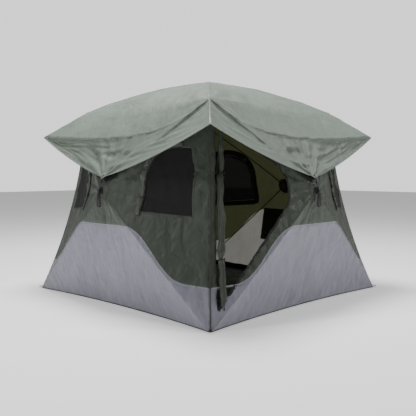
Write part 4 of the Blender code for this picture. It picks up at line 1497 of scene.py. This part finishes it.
def fly_roof_rows(count, rings):
    """Rows of points from the peak to the seam, for the four sides in turn, in world places."""
    rows = []
    ring_share = np.concatenate([np.linspace(0.02, 1, rings), 1 + np.linspace(0.25, 1, 8)])
    for share in ring_share:
        points = []
        for side in SIDES:
            a, seam, _ = fly_lines(side, count)
            edge_x = seam[:, 0] / np.maximum(-seam[:, 1], 1e-9) * TOP_HALF
            top = np.column_stack([edge_x, np.full(len(a), -TOP_HALF), fly_edge_height(edge_x / TOP_HALF)])
            if share <= 1:
                row = top * (share, share, 0)
                row[:, 2] = FLY_PEAK_Z + (top[:, 2] - FLY_PEAK_Z) * share + 4 * ROOF_BOW * share * (1 - share)
            else:
                row = top + (seam - top) * (share - 1)
                row[:, 1] -= 0.008 * math.sin(math.pi * (share - 1)) * arch(np.linspace(-1, 1, len(a)))
                row = clear_of_wall(row, side)
            points.append(spin(row, side)[:-1])
        rows.append(np.vstack(points))
    return ring_share, rows


def ring_mesh(rows):
    return np.vstack(rows), grid_faces(len(rows), len(rows[0]), closed=True)


def make_fly_roof():
    """The fly over the roof, down to the seam where its skirts are sewn on."""
    cloth = settings().cloth
    count = 101
    ring_share, rows = fly_roof_rows(count, 34)
    points, faces = ring_mesh(rows)
    per_ring = len(rows[0])
    peak = np.array([[0, 0, FLY_PEAK_Z]])
    faces += [(len(points), i, (i + 1) % per_ring) for i in range(per_ring)]
    points = np.vstack([points, peak])
    share = np.concatenate([np.repeat(ring_share, per_ring), [0]])
    flat = points[:, :2].copy()
    turn = np.arctan2(flat[:, 1], flat[:, 0])
    far = np.linalg.norm(flat, axis=1)
    lift = ripple(flat, 0.30, 21) * 0.0030 + folds(flat, 0.16, 22) * 0.0030 * smoothstep(share, 0.3, 1.0)
    between = np.abs(np.sin(2 * turn))
    sag = -0.030 * (1 - between) * np.clip(share, 0, 1) ** 1.2 * np.clip(1.6 - share, 0, 1)
    fan = np.sin(22 * turn + 0.6) * 0.0022 * np.exp(-far / 0.20) * smoothstep(far, 0.02, 0.1)
    corner = 0.0
    for hand_x in (-1, 1):
        for hand_y in (-1, 1):
            rel = flat - np.array([hand_x, hand_y]) * TOP_HALF
            away = np.linalg.norm(rel, axis=1)
            angle = np.arctan2(rel[:, 1], rel[:, 0])
            near = 0.0045 * np.exp(-away / 0.24) * smoothstep(away, 0.01, 0.08)
            corner = corner + near * np.sin(16 * angle)
    edge = smoothstep(2.0 - share, 0.0, 0.15)
    points[:, 2] += (lift + sag * 0.4 + fan + corner) * edge
    under = ceiling_height(flat)[0] + FLY_CLEARANCE
    over = np.max(np.abs(flat), axis=1) < TOP_HALF + 0.006
    points[:, 2] = np.where(over, np.maximum(points[:, 2], under), points[:, 2])
    item = mesh_piece("rainfly_roof", points, faces, [stuff("woven_fly"), stuff("fly_inside")], flat * 1.06)
    thicken(item, cloth.thickness, 1)
    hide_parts("rainfly")
    peak, corner = Vector((0, 0, FLY_PEAK_Z)), Vector((TOP_HALF, TOP_HALF, TOP_Z + KINK_RISE))
    weights = np.clip(1 - share / FLY_STILL_FROM, 0, 1)
    bend(item)
    return points, weights


def skirt_rows(side, count, rings):
    """A skirt's points from its seam to its hem, with pull lines down to the low point."""
    a, seam, hem = fly_lines(side, count)
    rows, shares = [], np.linspace(0, 1, rings)
    for share in shares:
        row = seam + (hem - seam) * share
        belly = math.sin(math.pi * share)
        ends = smoothstep(1 - np.abs(a), 0, 0.25)
        row[:, 1] += 0.016 * belly * ends
        rel = np.column_stack([row[:, 0], row[:, 2] - FLY_LOW_Z])
        away = np.linalg.norm(rel, axis=1)
        angle = np.arctan2(rel[:, 1], rel[:, 0])
        seed = 2.0 + SIDES[side] / 90
        pull = np.exp(-away / 0.34) * smoothstep(away, 0.01, 0.08) * np.sin(15 * angle + seed)
        spots = np.column_stack([a * 0.55, np.full_like(a, share * 0.5)])
        long_fold = ripple(spots, 0.16, int(seed))
        near_edge = smoothstep(share, 0.35, 0.9) * np.exp(-(((np.abs(a) - 0.35) / 0.3) ** 2))
        edge_fold = np.sin(share * 19 + a * 2.5 + seed) * near_edge
        row[:, 1] -= (0.0125 * pull + 0.0065 * long_fold * belly + 0.0050 * edge_fold * belly) * ends
        rows.append(clear_of_wall(row, side))
    return a, shares, rows


def make_skirt(side):
    cloth = settings().cloth
    count = 141
    a, shares, rows = skirt_rows(side, count, 40)
    local = np.vstack(rows)
    faces = grid_faces(len(rows), count)
    points = spin(local, side)
    uv = np.column_stack([local[:, 0], local[:, 2]])
    item = mesh_piece(f"rainfly_{side}_skirt", points, faces, [stuff("woven_skirt"), stuff("fly_inside")], uv)
    work = bmesh.new()
    work.from_mesh(item.data)
    bmesh.ops.remove_doubles(work, verts=work.verts, dist=1e-5)
    work.to_mesh(item.data)
    work.free()
    item.data.shade_smooth()
    thicken(item, cloth.thickness, 1)
    weights = np.concatenate([SKIRT_FOLLOW * share * (1 - np.abs(a)) for share in shares])
    follow(item, points)
    return points, weights, rows


def outward_of(rows, index):
    """Outward ways of a row in a front side's grid of rows."""
    grid = np.array(rows)
    along = np.gradient(grid, axis=1)
    down = np.gradient(grid, axis=0)
    ways = normalized(np.cross(down, along))[index]
    return ways * np.where(ways[:, 1:2] > 0, -1, 1)


def skirt_trim(side, points, weights, rows):
    """The seam over a skirt, its bound hem, its stitches and the grommet at its low point."""
    items = []
    for name, index, width, reach in (("seam", 0, 0.008, 0.007), ("hem", -1, settings().trim.binding, 0.012)):
        out = outward_of(rows, index)
        line, ways = spin(rows[index], side), spin(out, side)
        items.append(ribbon(name, line, ways, width, 0.0006, stuff("fly_binding")))
        items += stitch_rows(line, ways, (-reach, reach), "light_thread")
    piece = join(f"rainfly_{side}_seams", items)
    follow(piece, points)
    half = len(rows[0]) // 2
    middle = np.array([0.0, *rows[-3][half][1:]])
    out = out[half]
    up = normalized(np.cross(out, (1.0, 0, 0))[None])[0]
    right = np.array([1.0, 0, 0])
    ring = middle + out * 0.0012 + 0.0085 * (circle(32) @ np.array([right, up]))
    grommet = tube("grommet", spin(ring, side), 0.0024, stuff("enamelled_zinc"), 10, closed=True)
    patch = middle + out * 0.0010 + 0.030 * (np.vstack([(0, 0), circle(24)]) @ np.array([right, up * 0.8]))
    faces = [(0, 1 + k, 1 + (k + 1) % 24) for k in range(24)]
    disc = mesh_piece("patch", spin(patch, side), faces, [stuff("woven_fly")], [(p[0], p[2]) for p in patch])
    fix_normals(disc)
    solid(disc, 0.0009)
    piece = join(f"rainfly_{side}_grommet", [disc, grommet])
    follow(piece, points)
    tie_cord(side, middle, out)


def tie_cord(side, start, out):
    """The cord from a skirt's grommet to its hub, with its cord lock."""
    trim = settings().trim
    end = np.array(tuple(HUB_POINT)) + np.array(tuple(OUT)) * 0.010 + np.array([0, 0, 0.030])
    top = start + out * 0.004
    share = np.linspace(0, 1, 16)
    line = top + np.outer(share, end - top)
    line[:, 1] -= 0.004 * np.sin(math.pi * share)
    items = []
    for hand in (-1, 1):
        strand = line + np.outer(np.sin(math.pi * share) * 0.0035, (hand, 0, 0))
        items.append(tube("strand", spin(strand, side), trim.cord / 2 * 0.8, stuff("braided_cord"), 8))
    lock_at = line[9]
    way = normalized((line[10] - line[8])[None])[0]
    lock = lock_at + np.outer((-0.014, -0.012, -0.004, 0.006, 0.012, 0.014), way)
    radius = (0.0040, 0.0064, 0.0074, 0.0074, 0.0062, 0.0040)
    items.append(tube("lock", spin(lock, side), radius, stuff("moulded_nylon"), 14))
    button = lock_at + np.outer((0.013, 0.019, 0.0215), way)
    items.append(tube("button", spin(button, side), (0.0042, 0.0042, 0.0030), stuff("moulded_nylon"), 12))
    tail = end + np.outer(np.linspace(0, 1, 8), (0.012, -0.004, -0.055))
    tail[:, 0] += 0.006 * np.sin(np.linspace(0, 3, 8))
    items.append(tube("tail", spin(tail, side), trim.cord / 2 * 0.8, stuff("braided_cord"), 8))
    piece = join(f"rainfly_{side}_tie", items)
    down = np.clip((start[2] - points_of(piece)[:, 2]) / (start[2] - end[2]), 0, 1)
    bend(piece)


def fly_seams(points, weights):
    """The fly's seams from its peak to the kinks, with their stitches."""
    items = []
    tree = near_tree(points * (1, 1, 0))
    for angle in (45, 135, 225, 315):
        way = np.array([math.cos(math.radians(angle)), math.sin(math.radians(angle))])
        flat = np.outer(np.linspace(0.02, TOP_HALF * math.sqrt(2) * 0.999, 110), way)
        ranks = [tree.find_n((x, y, 0), 3) for x, y in flat]
        rise = []
        for found in ranks:
            close = np.array([1 / (d + 1e-4) for _, _, d in found])
            rise.append(float(close @ np.array([points[i][2] for _, i, _ in found]) / close.sum()))
        rise = np.convolve(np.pad(rise, 3, mode="edge"), np.ones(7) / 7, "valid")
        line = np.column_stack([flat, rise + 0.0008])
        tangent = normalized(np.gradient(line, axis=0))
        side = np.array([-way[1], way[0], 0.0])
        ways = normalized(np.cross(tangent, side))
        ways *= np.where(ways[:, 2:3] < 0, -1, 1)
        items.append(ribbon("seam", line, ways, 0.011, 0.0004, stuff("fly_binding"), crown=0.0012))
        items += stitch_rows(line + ways * 0.0009, ways, (-0.0038, 0.0038), "light_thread")
    piece = join("rainfly_ridge_seams", items)
    follow(piece, points)


# ---------------------------------------------------------------- hubs, poles, corners, loops


def finish_cad(test, material):
    for name, item in frame["nodes"].items():
        if test(name):
            item.data.materials.clear()
            item.data.materials.append(material)


def make_frame_finishes():
    finish_cad(lambda name: name.endswith("_pole"), stuff("fibreglass_rod"))
    finish_cad(lambda name: name.endswith(("_hub", "_foot", "_top_boot")), stuff("moulded_nylon"))


def tip_pockets():
    """Webbing that ties each pole's tip into its corner."""
    for side in SIDES:
        for corner in ("lower_left", "lower_right", "upper_right", "upper_left"):
            pole = frame["nodes"][f"{side}_{corner}_pole"]
            rows = points_of(pole)[::7]
            hub = np.array(hub_point(side))
            far = rows[np.argmax(np.linalg.norm(rows - hub, axis=1))]
            way = normalized((far - hub)[None])[0]
            line = far + np.outer(np.linspace(-0.004, 0.040, 8), way)
            radius = (0.0072, 0.0076, 0.0078, 0.0078, 0.0080, 0.0086, 0.0082, 0.0050)
            pocket = tube("pocket", line, radius, stuff("black_tape"), 12)
            pocket.name = f"{side}_{corner}_pole_pocket"
            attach(pocket, f"{side}_{corner}_pole")


def hub_caps(side):
    """A moulded rosette on the hub's cap: a rim, and ribs from the middle."""
    place = Matrix.Translation(HUB_POINT) @ WALL_FRAME.to_3x3().to_4x4()
    place = Matrix.Rotation(math.radians(SIDES[side]), 4, "Z") @ place
    items = []
    for k in range(8):
        angle = math.radians(45 * k + 22.5)
        start = Vector((math.cos(angle) * 0.017, math.sin(angle) * 0.017, 0.0108))
        end = Vector((math.cos(angle) * 0.0265, math.sin(angle) * 0.0265, 0.0108))
        line = [place @ start.lerp(end, s) for s in (0, 0.2, 0.8, 1)]
        items.append(tube("rib", np.array(line), (0.0006, 0.0013, 0.0013, 0.0006), stuff("moulded_nylon"), 8))
    ring = [place @ Vector((x * 0.0285, y * 0.0285, 0.0100)) for x, y in circle(48)]
    items.append(tube("rim", np.array(ring), 0.0012, stuff("moulded_nylon"), 8, closed=True))
    finish_on_body(f"{side}_hub_rosette", items, f"{side}_hub")


def pull_loop(side):
    """The webbing loop that pulls a hub in, with its sewn neck."""
    rows = spin_back(points_of(frame["nodes"][f"{side}_pull_loop"]), side)
    bar = np.array(tuple(LOOP_BAR))
    length = bar[2] - rows[:, 2].min()
    depth = np.ptp(rows[:, 1])
    small, big = 0.0042 + 0.00125, depth / 2 - 0.00125
    run = length - depth / 2
    lean = math.asin((big - small) / run)
    line = []
    for k in np.linspace(0, 1, 22):
        angle = math.pi / 2 - lean + (math.pi + 2 * lean) * k
        line.append((big * math.sin(angle), -run + big * math.cos(angle)))
    for k in np.linspace(0, 1, 16):
        angle = -math.pi / 2 + lean + (math.pi - 2 * lean) * k
        line.append((small * math.sin(angle), small * math.cos(angle)))
    line = spaced(np.array(line), 0.004, closed=True)
    wave = 0.0006 * np.sin(np.arange(len(line)) * 0.7)
    points = np.column_stack([np.zeros(len(line)), bar[1] + line[:, 0] * -1 + wave, bar[2] + line[:, 1]])
    across = spin([(1.0, 0, 0)], side)[0]
    body = strap(f"{side}_loop", spin(points, side), across, 0.025, 0.0023, stuff("black_tape"), closed=True)
    low = points[:, 2] > bar[2] - 0.034
    items = [body]
    for x in (-0.009, 0.0, 0.009):
        chosen = points[low & (points[:, 1] < bar[1])]
        chosen = chosen[np.argsort(chosen[:, 2])] + (x, 0, 0)
        if len(chosen) > 3:
            ways = np.tile((0.0, -1.0, 0.0), (len(chosen), 1))
            items += stitch_rows(spin(chosen, side), spin(ways, side), (0.0,), "light_thread")
    piece = join(f"{side}_pull_loop_webbing", items)
    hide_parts(f"{side}_pull_loop")
    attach(piece, f"{side}_pull_loop")


# ---------------------------------------------------------------- stage


CAMERA_PLACE = (-4.185, -4.102)
LOOK_AT = Vector((0, 0, 0.9))  # where the lamps point


def make_stage():
    look = settings().stage
    bpy.ops.mesh.primitive_plane_add(size=60, location=(0, 0, -0.002))
    ground = bpy.context.object
    ground.name = "stage_floor"
    material = bpy.data.materials.new("stage_floor")
    material.use_nodes = True
    shader = material.node_tree.nodes["Principled BSDF"]
    shader.inputs["Base Color"].default_value = (0.92, 0.92, 0.92, 1)
    shader.inputs["Roughness"].default_value = 0.9
    shader.inputs["Specular IOR Level"].default_value = 0.1
    shader.inputs["Emission Color"].default_value = (1.0, 1.0, 1.0, 1)
    shader.inputs["Emission Strength"].default_value = 0.30
    ground.data.materials.append(material)

    world = bpy.data.worlds.get("studio") or bpy.data.worlds.new("studio")
    world.use_nodes = True
    back = world.node_tree.nodes["Background"]
    back.inputs["Color"].default_value = (1.0, 1.0, 1.0, 1)
    back.inputs["Strength"].default_value = look.fill
    bpy.context.scene.world = world
    seen = world.node_tree.nodes.new("ShaderNodeLightPath")
    level = math_node(world.node_tree, "MULTIPLY_ADD", seen.outputs["Is Camera Ray"], 1.10, look.fill)
    world.node_tree.links.new(level, back.inputs["Strength"])

    for name, spot, size, power in (
        ("key", (3.5, -4.5, 5.2), 1.0, look.key),
        ("left", (-5.5, 2.0, 5.2), 1.0, look.key * 0.80),
        ("top", (-0.3, 0.6, 7.0), 2.4, look.key * 4.4),
    ):
        data = bpy.data.lights.new(name, "AREA")
        data.energy = power
        data.size = size
        lamp = bpy.data.objects.new(name, data)
        bpy.context.scene.collection.objects.link(lamp)
        lamp.location = spot
        lamp.rotation_euler = (LOOK_AT - Vector(spot)).to_track_quat("-Z", "Y").to_euler()

    data = bpy.data.cameras.new("camera")
    data.lens = look.lens
    data.sensor_width = 36
    camera = bpy.data.objects.new("camera", data)
    bpy.context.scene.collection.objects.link(camera)
    turn = look.azimuth
    camera.location = (*CAMERA_PLACE, look.height)
    level = math.cos(look.tilt)
    way = Vector((-math.sin(turn) * level, math.cos(turn) * level, -math.sin(look.tilt)))
    camera.rotation_euler = way.to_track_quat("-Z", "Y").to_euler()
    bpy.context.scene.camera = camera


# ---------------------------------------------------------------- operators


class TENT_OT_walls(Operator):
    """Builds the walls with their splash panels, window nets and back door."""

    bl_idname = "tent.walls"
    bl_label = "Walls"

    def execute(self, context):
        for side in SIDES:
            make_wall(side)
        return {"FINISHED"}


class TENT_OT_wall_trim(Operator):
    """Builds the seams, bindings, stitches, window covers and hub patches of the walls."""

    bl_idname = "tent.wall_trim"
    bl_label = "Wall trim"

    def execute(self, context):
        for side in SIDES:
            splash_trim(side)
            hub_patch(side)
            pole_seams(side)
            if side not in DOOR_WALLS:
                gear_pocket(side)
            for hand in WINDOW_HANDS[side]:
                window_trim(side, hand)
        body_edges()
        corner_webbing()
        return {"FINISHED"}


class TENT_OT_doors(Operator):
    """Builds the zips of both doors, the rolled front door, the back door's slider and the front slider's pull.
    """

    bl_idname = "tent.doors"
    bl_label = "Doors"

    def execute(self, context):
        open_door()
        closed_door()
        front_slider()
        return {"FINISHED"}


class TENT_OT_floor_and_ceiling(Operator):
    """Builds the groundsheet and the ceiling."""

    bl_idname = "tent.floor_and_ceiling"
    bl_label = "Floor and ceiling"

    def execute(self, context):
        make_floor()
        make_ceiling()
        return {"FINISHED"}


class TENT_OT_rainfly(Operator):
    """Builds the rainfly with its skirts, seams, grommets and ties."""

    bl_idname = "tent.rainfly"
    bl_label = "Rainfly"

    def execute(self, context):
        fly_seams(*make_fly_roof())
        for side in SIDES:
            skirt_trim(side, *make_skirt(side))
        return {"FINISHED"}


class TENT_OT_frame_finishes(Operator):
    """Gives the poles, hubs and corners their finishes, and adds pockets, rosettes and pull loops."""

    bl_idname = "tent.frame_finishes"
    bl_label = "Frame finishes"

    def execute(self, context):
        make_frame_finishes()
        tip_pockets()
        for side in SIDES:
            hub_caps(side)
            pull_loop(side)
        return {"FINISHED"}


class TENT_OT_stage(Operator):
    """Sets up the floor, light and camera."""

    bl_idname = "tent.stage"
    bl_label = "Stage"

    def execute(self, context):
        make_stage()
        return {"FINISHED"}


OPERATORS = (
    TENT_OT_walls,
    TENT_OT_wall_trim,
    TENT_OT_doors,
    TENT_OT_floor_and_ceiling,
    TENT_OT_rainfly,
    TENT_OT_frame_finishes,
    TENT_OT_stage,
)


class TENT_PT_panel(Panel):
    """Lists the tent's settings and its build steps."""

    bl_idname = "TENT_PT_panel"
    bl_label = "Hub tent"
    bl_space_type = "VIEW_3D"
    bl_region_type = "UI"
    bl_category = "Hub tent"

    def draw(self, context):
        tent = context.scene.hub_tent
        for group_of in (tent.cloth, tent.trim, tent.stage):
            box = self.layout.box()
            for name in group_of.__annotations__:
                box.prop(group_of, name)
        for operator in OPERATORS:
            self.layout.operator(operator.bl_idname)


CLASSES = (ClothSettings, TrimSettings, StageSettings, TentSettings, *OPERATORS, TENT_PT_panel)


def register():
    for cls in CLASSES:
        bpy.utils.register_class(cls)
    bpy.types.Scene.hub_tent = PointerProperty(type=TentSettings)


def unregister():
    del bpy.types.Scene.hub_tent
    for cls in reversed(CLASSES):
        bpy.utils.unregister_class(cls)


def main():
    register()
    for operator in OPERATORS:
        section, name = operator.bl_idname.split(".")
        getattr(getattr(bpy.ops, section), name)()


if __name__ == "__main__":
    main()
